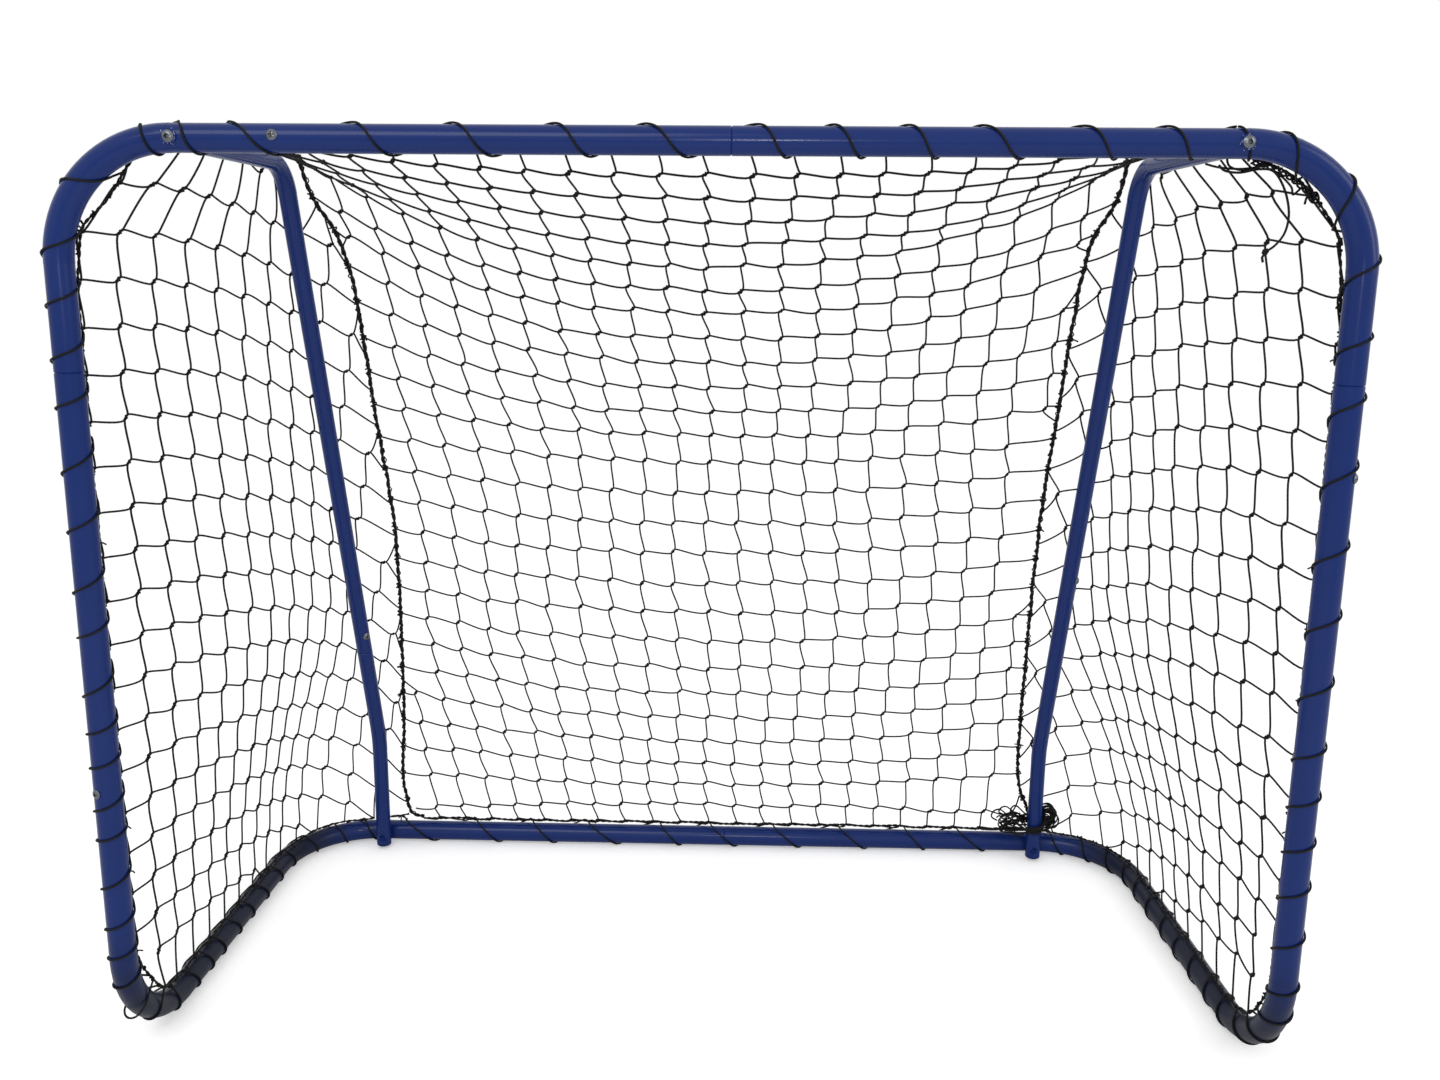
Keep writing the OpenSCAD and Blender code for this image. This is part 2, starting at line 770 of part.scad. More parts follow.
net_back_wing_a();  // net_right_back_a
net_back_wing_b();  // net_right_back_b
net_back_wing_c();  // net_right_back_c
net_back_wing_d();  // net_right_back_d
net_back_wing_e();  // net_right_back_e
left() net_top();  // net_left_top
left() net_front();  // net_left_front
left() net_side();  // net_left_side
left() net_corner();  // net_left_corner
left() net_heel();  // net_left_heel
net_top();  // net_right_top
net_front();  // net_right_front
net_side();  // net_right_side
net_corner();  // net_right_corner
net_heel();  // net_right_heel
corner_rope_left();
corner_rope_right();
edge_rope_left();
edge_rope_right();
edge_rope_top();
edge_rope_rear();
lacing_crossbar();
lacing_upright_left();
lacing_upright_right();
lacing_floor_left();
lacing_floor_right();
lacing_rear();
spare_cord();
lacing_tail();
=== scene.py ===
"""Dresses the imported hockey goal: powder-coated tube, zinc fasteners, knotted net, ropes and lacing.

Lengths in the tables are in millimetres of the bare frame: distance right of the middle, depth behind
the goal's front face, height over the underside of the floor tubes. at() turns them into metres of
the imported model's frame.
"""
import math
import random

import bpy
from mathutils import Matrix, Vector


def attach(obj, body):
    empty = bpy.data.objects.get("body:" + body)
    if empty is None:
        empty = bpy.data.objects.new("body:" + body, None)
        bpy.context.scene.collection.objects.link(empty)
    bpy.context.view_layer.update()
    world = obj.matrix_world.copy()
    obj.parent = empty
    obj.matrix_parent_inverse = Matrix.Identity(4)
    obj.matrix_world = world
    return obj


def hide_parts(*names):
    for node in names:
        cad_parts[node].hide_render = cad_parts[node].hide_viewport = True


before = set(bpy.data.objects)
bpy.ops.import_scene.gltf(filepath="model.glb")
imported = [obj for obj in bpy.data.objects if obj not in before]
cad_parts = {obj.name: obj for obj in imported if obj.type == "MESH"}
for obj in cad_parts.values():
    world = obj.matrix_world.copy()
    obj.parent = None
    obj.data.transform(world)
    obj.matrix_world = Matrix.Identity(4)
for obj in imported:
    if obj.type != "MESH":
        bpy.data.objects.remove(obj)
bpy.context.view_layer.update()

# ---- Sizes: the tubes and their places as in part.scad, the cord and the twine as real ----
FACE = -250
LIFT = 2.355
TUBE_R = 12.5
POST_R = 9.5
CORD = 2.1
TWINE = 2.1
SIDE_X, REAR_X = 562.5, 549.0
FRONT_DEPTH, REAR_DEPTH = 12.5, 487.5
BASE_H, TOP_H = 12.5, 887.5
TOP_BEND, FOOT_BEND, REAR_BEND = 107, 103, 105
ELBOW = Vector((446.5, 246, 885))
KNEE = Vector((440, 465.5, 155))

rng = random.Random(7)


def at(p):
    """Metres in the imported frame, from millimetres of the bare goal."""
    return Vector((p[0], p[1] + FACE, p[2] + LIFT)) / 1000


def lin(code):
    """Linear colour from an sRGB hex code."""
    parts = [int(code[i:i + 2], 16) / 255 for i in (1, 3, 5)]
    return [c / 12.92 if c <= 0.04045 else ((c + 0.055) / 1.055) ** 2.4 for c in parts] + [1.0]


def add(tree, kind, settings=None, inputs=None):
    """A node of a tree with its settings; an input is a value or another node's output."""
    n = tree.nodes.new(kind)
    for key, value in (settings or {}).items():
        setattr(n, key, value)
    for key, value in (inputs or {}).items():
        if isinstance(value, bpy.types.NodeSocket):
            tree.links.new(value, n.inputs[key])
        else:
            n.inputs[key].default_value = value
    return n


# ---- Camera: fitted to the outlines of the tubes ----
def make_camera():
    yaw, pitch, roll = (math.radians(a) for a in (1.38, 10.95, -0.45))
    focal, middle, size = 1197.8, (702.0, 492.2), (1440, 1080)
    ahead = Vector((-math.sin(yaw) * math.cos(pitch), math.cos(yaw) * math.cos(pitch), -math.sin(pitch)))
    right = Vector((math.cos(yaw), math.sin(yaw), 0))
    down = ahead.cross(right)
    x = right * math.cos(roll) + down * math.sin(roll)
    y = right * math.sin(roll) - down * math.cos(roll)
    data = bpy.data.cameras.new("Camera")
    data.sensor_width = 36
    data.lens = 36 * focal / size[0]
    data.shift_x = (size[0] / 2 - middle[0]) / size[0]
    data.shift_y = (middle[1] - size[1] / 2) / size[0]
    camera = bpy.data.objects.new("Camera", data)
    turn = Matrix((x, y, -ahead)).transposed().to_4x4()
    camera.matrix_world = Matrix.Translation((0.0267, -1.2893, 0.7903)) @ turn
    bpy.context.collection.objects.link(camera)
    bpy.context.scene.camera = camera


make_camera()


# ---- Materials ----
def new_material(name):
    m = bpy.data.materials.new(name)
    m.use_nodes = True
    m.node_tree.nodes.clear()
    return m, m.node_tree


def finish_material(tree, shader):
    add(tree, "ShaderNodeOutputMaterial", inputs={"Surface": shader.outputs["BSDF"]})


# Colours of the finishes
PAINT_DEEP, PAINT_LIGHT = "#0E2560", "#122B69"
# Painted shade of the runs on the floor
PAINT_FLOOR_SHADE = "#10162A"
# Pale marks round the bolts: scratches, and painted glints off the dented paint
PAINT_SCRATCH_AND_GLINT = "#8390BC"
# Plain zinc, and the painted shade for the recesses of the heads
ZINC_PLAIN, ZINC_RECESS_SHADE = "#6A6E73", "#17181A"
CORD_DYE = "#070708"

# Metres of the ring of scratches and painted glints round a bolt and of its fading, and cells of orange
# peel in a metre
SCRATCH_GLINT_R = 0.0115
SCRATCH_GLINT_FADE = 0.005
PEEL_CELLS = 520.0


def powder_coat(name, scratch_and_glint_points=()):
    """Glossy polyester powder coat on steel tube, with its slight orange peel, about 2 mm across.
    The runs that lie on the floor are darker and duller: painted shade, with a rougher finish. Thin pale
    marks surround the bolts at the points given: scratches, and painted glints off the dented paint."""
    m, t = new_material(name)
    here = add(t, "ShaderNodeTexCoord").outputs["Object"]
    peel = add(t, "ShaderNodeTexNoise", inputs={"Vector": here, "Scale": PEEL_CELLS, "Detail": 1.5})
    broad = add(t, "ShaderNodeTexNoise", inputs={"Vector": here, "Scale": 14.0, "Detail": 3.0})
    bump = add(t, "ShaderNodeBump", inputs={
        "Height": peel.outputs["Fac"], "Strength": 0.05, "Distance": 0.0004})
    shade = add(t, "ShaderNodeMix", {"data_type": "RGBA"}, {
        0: broad.outputs["Fac"], 6: lin(PAINT_DEEP), 7: lin(PAINT_LIGHT)}).outputs[2]

    # Painted shade on the runs close to the floor and at the sides, which are also rougher
    place = add(t, "ShaderNodeSeparateXYZ", inputs={"Vector": here}).outputs
    low = add(t, "ShaderNodeMapRange", {"interpolation_type": "SMOOTHSTEP"}, {
        "Value": place["Z"], "From Min": 0.04, "From Max": 0.17,
        "To Min": 1.0, "To Max": 0.0}).outputs["Result"]
    aside = add(t, "ShaderNodeMath", {"operation": "ABSOLUTE"}, {0: place["X"]}).outputs[0]
    aside = add(t, "ShaderNodeMapRange", {"interpolation_type": "SMOOTHSTEP"}, {
        "Value": aside, "From Min": 0.47, "From Max": 0.54}).outputs["Result"]
    floor_shade_and_dull = add(t, "ShaderNodeMath", {"operation": "MULTIPLY"}, {0: low, 1: aside}).outputs[0]
    shade = add(t, "ShaderNodeMix", {"data_type": "RGBA"}, {
        0: floor_shade_and_dull, 6: shade, 7: lin(PAINT_FLOOR_SHADE)}).outputs[2]
    rough = add(t, "ShaderNodeMapRange", inputs={
        "Value": broad.outputs["Fac"], "To Min": 0.15, "To Max": 0.22}).outputs["Result"]
    rough = add(t, "ShaderNodeMath", {"operation": "MULTIPLY_ADD"}, {
        0: floor_shade_and_dull, 1: 0.2, 2: rough}).outputs[0]

    # Scratches and painted glints off the dented paint: drawn out upwards, thinning out over the last of
    # their ring
    for point in scratch_and_glint_points:
        gap = add(t, "ShaderNodeVectorMath", {"operation": "DISTANCE"}, {0: here, 1: point})
        ring = add(t, "ShaderNodeMapRange", {"interpolation_type": "SMOOTHSTEP"}, {
            "Value": gap.outputs["Value"], "From Min": SCRATCH_GLINT_R, "From Max": SCRATCH_GLINT_R - SCRATCH_GLINT_FADE,
            "To Min": 0.0, "To Max": 0.3})
        drawn = add(t, "ShaderNodeVectorMath", {"operation": "MULTIPLY"}, {0: here, 1: (1, 1, 0.3)})
        ragged = add(t, "ShaderNodeTexNoise", inputs={
            "Vector": drawn.outputs[0], "Scale": 640.0, "Detail": 2.0})
        marks = add(t, "ShaderNodeMath", {"operation": "ADD"}, {
            0: ragged.outputs["Fac"], 1: ring.outputs["Result"]})
        scratched_and_glinting = add(t, "ShaderNodeMath", {"operation": "GREATER_THAN"}, {0: marks.outputs[0], 1: 0.93})
        shade = add(t, "ShaderNodeMix", {"data_type": "RGBA"}, {
            0: scratched_and_glinting.outputs[0], 6: shade, 7: lin(PAINT_SCRATCH_AND_GLINT)}).outputs[2]
    bsdf = add(t, "ShaderNodeBsdfPrincipled", inputs={
        "Base Color": shade, "Roughness": rough, "Normal": bump.outputs["Normal"],
        "IOR": 1.45, "Specular IOR Level": 0.24})
    finish_material(t, bsdf)
    return m


def zinc_plate():
    """Zinc plate on steel screws and bolts, with painted shade darkening the recesses of their heads."""
    m, t = new_material("Zinc plate")
    here = add(t, "ShaderNodeTexCoord").outputs["Object"]
    cloud = add(t, "ShaderNodeTexNoise", inputs={"Vector": here, "Scale": 300.0, "Detail": 3.0})
    rough = add(t, "ShaderNodeMapRange", inputs={
        "Value": cloud.outputs["Fac"], "To Min": 0.22, "To Max": 0.4}).outputs["Result"]
    # Painted shade: darker where ambient occlusion finds a recess
    open_air = add(t, "ShaderNodeAmbientOcclusion", inputs={"Distance": 0.0025}).outputs["AO"]
    open_air = add(t, "ShaderNodeMapRange", inputs={
        "Value": open_air, "From Min": 0.35, "From Max": 0.8}).outputs["Result"]
    shade = add(t, "ShaderNodeMix", {"data_type": "RGBA"}, {
        0: open_air, 6: lin(ZINC_RECESS_SHADE), 7: lin(ZINC_PLAIN)}).outputs[2]
    bsdf = add(t, "ShaderNodeBsdfPrincipled", inputs={
        "Base Color": shade, "Metallic": 1.0, "Roughness": rough})
    finish_material(t, bsdf)
    return m


def black_twine(name, lay):
    """Black twisted polyethylene cord: the lay of its three strands, in metres a turn, shows as fine
    slanting ridges. The trees that make cords store the place along and round each one."""
    m, t = new_material(name)
    along = add(t, "ShaderNodeAttribute", {"attribute_name": "along"}).outputs["Fac"]
    around = add(t, "ShaderNodeAttribute", {"attribute_name": "around"}).outputs["Fac"]
    turns = add(t, "ShaderNodeMath", {"operation": "MULTIPLY_ADD"}, {0: along, 1: 1 / lay, 2: around})
    angle = add(t, "ShaderNodeMath", {"operation": "MULTIPLY"}, {0: turns.outputs[0], 1: 3 * math.tau})
    ridges = add(t, "ShaderNodeMath", {"operation": "SINE"}, {0: angle.outputs[0]})
    bump = add(t, "ShaderNodeBump", inputs={
        "Height": ridges.outputs[0], "Strength": 0.5, "Distance": 0.0003})
    bsdf = add(t, "ShaderNodeBsdfPrincipled", inputs={
        "Base Color": lin(CORD_DYE), "Roughness": 0.62, "Normal": bump.outputs["Normal"],
        "Specular IOR Level": 0.22})
    finish_material(t, bsdf)
    return m


ARM_BOLTS = [at((side * 451.7, 0, 887.5)) for side in (-1, 1)]
PAINT = powder_coat("Blue powder coat")
# Crossbar coat with scratches and painted glints round the arm bolts
PAINT_SCRATCHED_AND_GLINTING = powder_coat("Blue powder coat rubbed at the bolts", ARM_BOLTS)
ZINC = zinc_plate()
NET_TWINE = black_twine("Black net twine", 0.006)
CORD_BLACK = black_twine("Black lacing cord", 0.008)


# ---- Geometry Nodes: cords along wires, and knots on points ----
def group_input(tree, name, kind, value=None):
    socket = tree.interface.new_socket(name, in_out="INPUT", socket_type=kind)
    if value is not None:
        socket.default_value = value
    return socket


def cord_tree():
    """Every wire of the mesh becomes a round cord."""
    t = bpy.data.node_groups.new("Cord along a wire", "GeometryNodeTree")
    group_input(t, "Wires", "NodeSocketGeometry")
    group_input(t, "Thickness", "NodeSocketFloat", 0.002)
    group_input(t, "Sides", "NodeSocketInt", 6)
    group_input(t, "Material", "NodeSocketMaterial")
    t.interface.new_socket("Geometry", in_out="OUTPUT", socket_type="NodeSocketGeometry")
    start = add(t, "NodeGroupInput").outputs
    curve = add(t, "GeometryNodeMeshToCurve", inputs={"Mesh": start["Wires"]}).outputs["Curve"]
    length = add(t, "GeometryNodeSplineParameter").outputs["Length"]
    curve = add(t, "GeometryNodeStoreNamedAttribute", {"data_type": "FLOAT", "domain": "POINT"}, {
        "Geometry": curve, "Name": "along", "Value": length}).outputs["Geometry"]
    half = add(t, "ShaderNodeMath", {"operation": "MULTIPLY"}, {0: start["Thickness"], 1: 0.5}).outputs[0]
    ring = add(t, "GeometryNodeCurvePrimitiveCircle", inputs={
        "Resolution": start["Sides"], "Radius": half}).outputs["Curve"]
    share = add(t, "GeometryNodeSplineParameter").outputs["Factor"]
    ring = add(t, "GeometryNodeStoreNamedAttribute", {"data_type": "FLOAT", "domain": "POINT"}, {
        "Geometry": ring, "Name": "around", "Value": share}).outputs["Geometry"]
    mesh = add(t, "GeometryNodeCurveToMesh", inputs={
        "Curve": curve, "Profile Curve": ring, "Fill Caps": True}).outputs["Mesh"]
    smooth = add(t, "GeometryNodeSetShadeSmooth", inputs={"Geometry": mesh}).outputs[0]
    real = add(t, "GeometryNodeRealizeInstances", inputs={"Geometry": smooth}).outputs["Geometry"]
    painted = add(t, "GeometryNodeSetMaterial", inputs={
        "Geometry": real, "Material": start["Material"]}).outputs["Geometry"]
    add(t, "NodeGroupOutput", inputs={"Geometry": painted})
    return t


def knot_tree():
    """A copy of the knot on every point, lying along the stored direction and facing the stored one."""
    t = bpy.data.node_groups.new("Knots on points", "GeometryNodeTree")
    group_input(t, "Points", "NodeSocketGeometry")
    group_input(t, "Knot", "NodeSocketObject")
    group_input(t, "Size", "NodeSocketFloat", 1.0)
    group_input(t, "Unevenness", "NodeSocketFloat", 0.15)
    group_input(t, "Seed", "NodeSocketInt", 3)
    group_input(t, "Material", "NodeSocketMaterial")
    t.interface.new_socket("Geometry", in_out="OUTPUT", socket_type="NodeSocketGeometry")
    start = add(t, "NodeGroupInput").outputs
    knot = add(t, "GeometryNodeObjectInfo", inputs={"Object": start["Knot"]}).outputs["Geometry"]
    lie, face = (add(t, "GeometryNodeInputNamedAttribute", {"data_type": "FLOAT_VECTOR"}, {
        "Name": name}).outputs["Attribute"] for name in ("lie", "face"))
    turn = add(t, "FunctionNodeAlignRotationToVector", {"axis": "X"}, {"Vector": lie}).outputs["Rotation"]
    turn = add(t, "FunctionNodeAlignRotationToVector", {"axis": "Z", "pivot_axis": "X"}, {
        "Rotation": turn, "Vector": face}).outputs["Rotation"]
    # Random Value has a pair of limits for each type of value, and the float pair is linked by type
    limits = [add(t, "ShaderNodeMath", {"operation": operation}, {
        0: start["Size"], 1: start["Unevenness"]}).outputs[0] for operation in ("SUBTRACT", "ADD")]
    size = add(t, "FunctionNodeRandomValue", {"data_type": "FLOAT"}, {"Seed": start["Seed"]})
    bounds = [s for s in size.inputs if s.name in ("Min", "Max") and s.type == "VALUE"]
    for limit, socket in zip(limits, bounds):
        t.links.new(limit, socket)
    value = next(s for s in size.outputs if s.type == "VALUE")
    placed = add(t, "GeometryNodeInstanceOnPoints", inputs={
        "Points": start["Points"], "Instance": knot,
        "Rotation": turn, "Scale": value}).outputs["Instances"]
    real = add(t, "GeometryNodeRealizeInstances", inputs={"Geometry": placed}).outputs["Geometry"]
    smooth = add(t, "GeometryNodeSetShadeSmooth", inputs={"Geometry": real}).outputs[0]
    painted = add(t, "GeometryNodeSetMaterial", inputs={
        "Geometry": smooth, "Material": start["Material"]}).outputs["Geometry"]
    add(t, "NodeGroupOutput", inputs={"Geometry": painted})
    return t


CORD_TREE = cord_tree()
KNOT_TREE = knot_tree()


def worked_out(name, mesh, tree, values):
    """A plain mesh object from a mesh and a node tree with its named inputs."""
    raw = bpy.data.objects.new(name + "_raw", mesh)
    bpy.context.collection.objects.link(raw)
    mod = raw.modifiers.new("Nodes", "NODES")
    mod.node_group = tree
    for item in tree.interface.items_tree:
        if item.item_type == "SOCKET" and item.in_out == "INPUT" and item.name in values:
            mod[item.identifier] = values[item.name]
    raw.update_tag()
    bpy.context.view_layer.update()
    done = bpy.data.meshes.new_from_object(raw.evaluated_get(bpy.context.evaluated_depsgraph_get()))
    done.name = name
    bpy.data.objects.remove(raw)
    bpy.data.meshes.remove(mesh)
    piece = bpy.data.objects.new(name, done)
    bpy.context.collection.objects.link(piece)
    return piece


def wires_mesh(name, wires):
    mesh = bpy.data.meshes.new(name)
    points, edges = [], []
    for wire in wires:
        first = len(points)
        points += [tuple(p) for p in wire]
        edges += [(first + k, first + k + 1) for k in range(len(wire) - 1)]
    mesh.from_pydata(points, edges, [])
    return mesh


def cords(name, wires, thickness, sides, material):
    return worked_out(name, wires_mesh(name + "_wires", wires), CORD_TREE, {
        "Thickness": thickness / 1000, "Sides": sides, "Material": material})


def joined(name, pieces):
    """One object from several, with their stored attributes."""
    bpy.ops.object.select_all(action="DESELECT")
    for p in pieces:
        p.select_set(True)
    bpy.context.view_layer.objects.active = pieces[0]
    bpy.ops.object.join()
    whole = bpy.context.view_layer.objects.active
    whole.name = name
    whole.data.name = name
    return whole


# ---- Lines ----
def smooth(points, steps):
    """Catmull-Rom curve through points."""
    p = [Vector(q) for q in points]
    out = []
    for i in range(len(p) - 1):
        a, b, c, d = p[max(i - 1, 0)], p[i], p[i + 1], p[min(i + 2, len(p) - 1)]
        for s in range(steps + (i == len(p) - 2)):
            u = s / steps
            out.append(0.5 * (2 * b + (c - a) * u + (2 * a - 5 * b + 4 * c - d) * u * u
                              + (3 * b - a - 3 * c + d) * u ** 3))
    return out


class Line:
    """A line through points with a distance along it."""

    def __init__(self, points):
        self.p = [Vector(q) for q in points]
        self.s = [0.0]
        for a, b in zip(self.p, self.p[1:]):
            self.s.append(self.s[-1] + (b - a).length)
        self.length = self.s[-1]

    def __call__(self, s):
        s = min(max(s, 0.0), self.length)
        k = 0
        while k < len(self.s) - 2 and self.s[k + 1] < s:
            k += 1
        u = (s - self.s[k]) / (self.s[k + 1] - self.s[k])
        return self.p[k].lerp(self.p[k + 1], u)

    def run(self, s):
        return (self(s + 1) - self(s - 1)).normalized()


def rounded(points, radii, step=6):
    """Line through corners that are rounded to the radii."""
    p = [Vector(q) for q in points]
    out = [p[0]]
    for k, r in enumerate(radii):
        a, b, c = p[k], p[k + 1], p[k + 2]
        u, v = (b - a).normalized(), (c - b).normalized()
        turn = u.angle(v)
        start = b - u * r * math.tan(turn / 2)
        axis = u.cross(v).normalized()
        middle = start + axis.cross(u) * r
        count = max(6, int(r * turn / step))
        out += [middle + Matrix.Rotation(turn * i / count, 3, axis) @ (start - middle)
                for i in range(count + 1)]
    return out + [p[-1]]


def mirror(points):
    return [Vector((-q[0], q[1], q[2])) for q in points]


def wander(size, step, seed):
    """Smooth random offset along a distance."""
    r = random.Random(seed)
    knots = [Vector((r.uniform(-1, 1), r.uniform(-1, 1), r.uniform(-1, 1))) * size for _ in range(64)]

    def value(s):
        k, u = divmod(max(s, 0) / step, 1)
        u = u * u * (3 - 2 * u)
        return knots[int(k) % 64].lerp(knots[int(k + 1) % 64], u)
    return value


# ---- The two corner ropes and the line where the net meets each arm ----
ROPE_RIGHT = [(434, 252, 892), (427, 262, 850), (409, 279, 810), (404, 294, 760), (403, 318, 690),
              (401, 345, 600), (400, 388, 450), (410, 450, 232), (412, 462, 155), (418, 470, 100),
              (431, 477, 68), (437, 480, 46)]
ROPE_LEFT = [(-432, 252, 892), (-422, 262, 850), (-401, 279, 807), (-391, 297, 742), (-389, 318, 672),
             (-388, 342, 600), (-384, 387, 448), (-403, 456, 213), (-412, 473, 100), (-409, 477, 66),
             (-408, 479, 50), (-403, 482, 39), (-389, 485, 33)]
RIGHT_ROPE = Line(smooth(ROPE_RIGHT, 8))
LEFT_ROPE = Line(smooth(ROPE_LEFT, 8))


def post_at(height):
    """Distance from the middle and depth of a post's centre line."""
    if height <= KNEE.z:
        return KNEE.x, KNEE.y
    return tuple(ELBOW.lerp(KNEE, (ELBOW.z - min(height, ELBOW.z)) / (ELBOW.z - KNEE.z)))[:2]


# ---- Net ----
# Half a knot's length, and the share of a strand that still leans the way its knot lies
KNOT_HALF = 3.4
LEAN = 0.16
STRAND_STEPS = 6


def knot_form():
    """One knot of the net: two strands side by side along X with a turn of twine round them."""
    pair = [[Vector((x, 0.65 * math.cos(a + x * 0.45), 0.65 * math.sin(a + x * 0.45))) / 1000
             for x in (-KNOT_HALF - 0.6, -1.8, 0, 1.8, KNOT_HALF + 0.6)] for a in (0.4, 0.4 + math.pi)]
    band = [Vector((-1.2 + 0.3 * k, 1.3 * math.cos(k * 0.8), 1.3 * math.sin(k * 0.8))) / 1000
            for k in range(9)]
    form = cords("Knot_form", pair + [band], TWINE - 0.1, 5, NET_TWINE)
    form.hide_render = True
    return form


KNOT = knot_form()


class Net:
    """Knots on a grid and the strands between them. right and up are the ways along the grid as
    they are seen from in front, and every knot slants from lower left to upper right."""

    def __init__(self, name, place):
        self.name, self.place = name, place
        self.knots, self.strands = {}, []

    def knot(self, key, right, up):
        p = self.place(*key)
        slant = (right.normalized() * 0.75 + up.normalized() * rng.uniform(0.55, 1.0)).normalized()
        self.knots[key] = (p, slant, right.cross(up).normalized())

    def low(self, key):
        p, slant, _ = self.knots[key]
        return p - slant * KNOT_HALF, slant

    def high(self, key):
        p, slant, _ = self.knots[key]
        return p + slant * KNOT_HALF, slant

    def strand(self, a, b, slack=1.0):
        """From a knot's end to another's. a and b are points with the direction the twine takes
        there, which it keeps for a share of its length before it hangs loose."""
        (p, tp), (q, tq) = a, b
        d = q - p
        lean = LEAN * d.length
        ahead = d.normalized()
        c1 = p + (ahead * 0.8 + tp * 0.4) * lean
        c2 = q - (ahead * 0.8 + tq * 0.4) * lean
        loose = Vector((rng.gauss(0, 0.6), rng.gauss(0, 0.6), rng.gauss(-0.7, 0.5))) * slack
        out = []
        for k in range(STRAND_STEPS + 1):
            u = k / STRAND_STEPS
            v = 1 - u
            point = p * v ** 3 + c1 * 3 * u * v * v + c2 * 3 * u * u * v + q * u ** 3
            out.append(at(point + loose * 4 * u * v))
        self.strands.append(out)

    def made(self):
        strands = cords(self.name + "_strands", self.strands, TWINE, 5, NET_TWINE)
        mesh = bpy.data.meshes.new(self.name + "_points")
        mesh.from_pydata([tuple(at(k[0])) for k in self.knots.values()], [], [])
        for attribute, index in (("lie", 1), ("face", 2)):
            layer = mesh.attributes.new(attribute, "FLOAT_VECTOR", "POINT")
            for row, k in zip(layer.data, self.knots.values()):
                row.vector = k[index]
        knots = worked_out(self.name + "_knots", mesh, KNOT_TREE, {
            "Knot": KNOT, "Size": 1.0, "Unevenness": 0.14, "Seed": 5, "Material": NET_TWINE})
        return joined(self.name, [strands, knots])


# Back and roof: 28 rows from the crossbar to the rear bar, sagging between the arms and the ropes
ROWS = 27
SAG = Line(smooth([(0, 28, 892), (0, 36, 868), (0, 68, 850), (0, 102, 832), (0, 134, 812),
                   (0, 168, 789), (0, 200, 765), (0, 230, 740), (0, 258, 711), (0, 285, 681),
                   (0, 310, 650), (0, 334, 619), (0, 358, 587), (0, 374, 555), (0, 378, 520),
                   (0, 382, 450), (0, 389, 338), (0, 414, 225), (0, 450, 116), (0, 479, 46),
                   (0, 485, 32)], 3))
# Rows that are gathered along the arms
GATHERED = 5
ARM_EDGE = [Vector((449, 28, 897)), Vector((440, 250, 898))]
# Width of a mesh, how near a knot may come to the net's edge, and the knots' unevenness
COLUMN = 39.0
EDGE_GAP = 14
uneven = wander(2.2, 9.0, 21)


def edge_of_back(row, side):
    """Where a row of the back and roof net ends, at an arm or a corner rope."""
    if row <= GATHERED:
        p = ARM_EDGE[0].lerp(ARM_EDGE[1], row / GATHERED)
        return Vector((side * p.x, p.y, p.z))
    rope = RIGHT_ROPE if side > 0 else LEFT_ROPE
    share = (row - GATHERED) / (ROWS - GATHERED)
    p = rope(rope.length * share)
    if row > ROWS - 2:
        p = p.lerp(Vector((424 if side > 0 else -389, 485, 32)), (row - ROWS + 2) / 2)
    return p


def back_place(column, row):
    pitch = COLUMN - 2.0 * max(0, row - 20) / 7
    x = column * pitch + 3.0 * math.sin(row * 0.7 + column * 0.35)
    side = 1 if x >= 0 else -1
    edge = edge_of_back(row, side)
    middle = SAG(SAG.length * row / ROWS)
    share = min(1, abs(x) / abs(edge.x))
    pull = share ** 2.4
    p = middle.lerp(edge, pull)
    p.x = x
    if 0 < row < ROWS:
        p += uneven((column * 13 + row * 7) * 11.3)
    return p


def back_net():
    net = Net("Net_back_and_roof", back_place)
    last = {}
    for row in range(ROWS + 1):
        for side in (-1, 1):
            reach = abs(edge_of_back(row, side).x) - EDGE_GAP
            count = 0
            while abs(back_place(side * (count + 1), row).x) < reach:
                count += 1
            last[row, side] = count
        for column in range(-last[row, -1], last[row, 1] + 1):
            right = back_place(column + 1, row) - back_place(column - 1, row)
            up = back_place(column, max(row - 1, 0)) - back_place(column, min(row + 1, ROWS))
            net.knot((column, row), right, up)
    for (column, row) in list(net.knots):
        here = (column, row)
        beside, above = (column + 1, row), (column, row - 1)
        slack = 0.4 if row in (0, ROWS) else 1.0
        if beside in net.knots:
            net.strand(net.high(here), net.low(beside), slack)
        else:
            edge = edge_of_back(row, 1)
            net.strand(net.high(here), (edge, Vector((0, 0, 1))), slack)
        if (column - 1, row) not in net.knots:
            edge = edge_of_back(row, -1)
            net.strand((edge, Vector((1, 0, 0))), net.low(here), slack)
        if above in net.knots:
            net.strand(net.high(here), net.low(above))
        elif row > 0:
            side = 1 if column > 0 else -1
            net.strand(net.high(here), (edge_of_back(row - 0.5, side), Vector((0, 0, 1))))
        if row < ROWS and (column, row + 1) not in net.knots:
            side = 1 if column > 0 else -1
            net.strand((edge_of_back(row + 0.5, side), Vector((0, 0, 1))), net.low(here))
    return net.made()


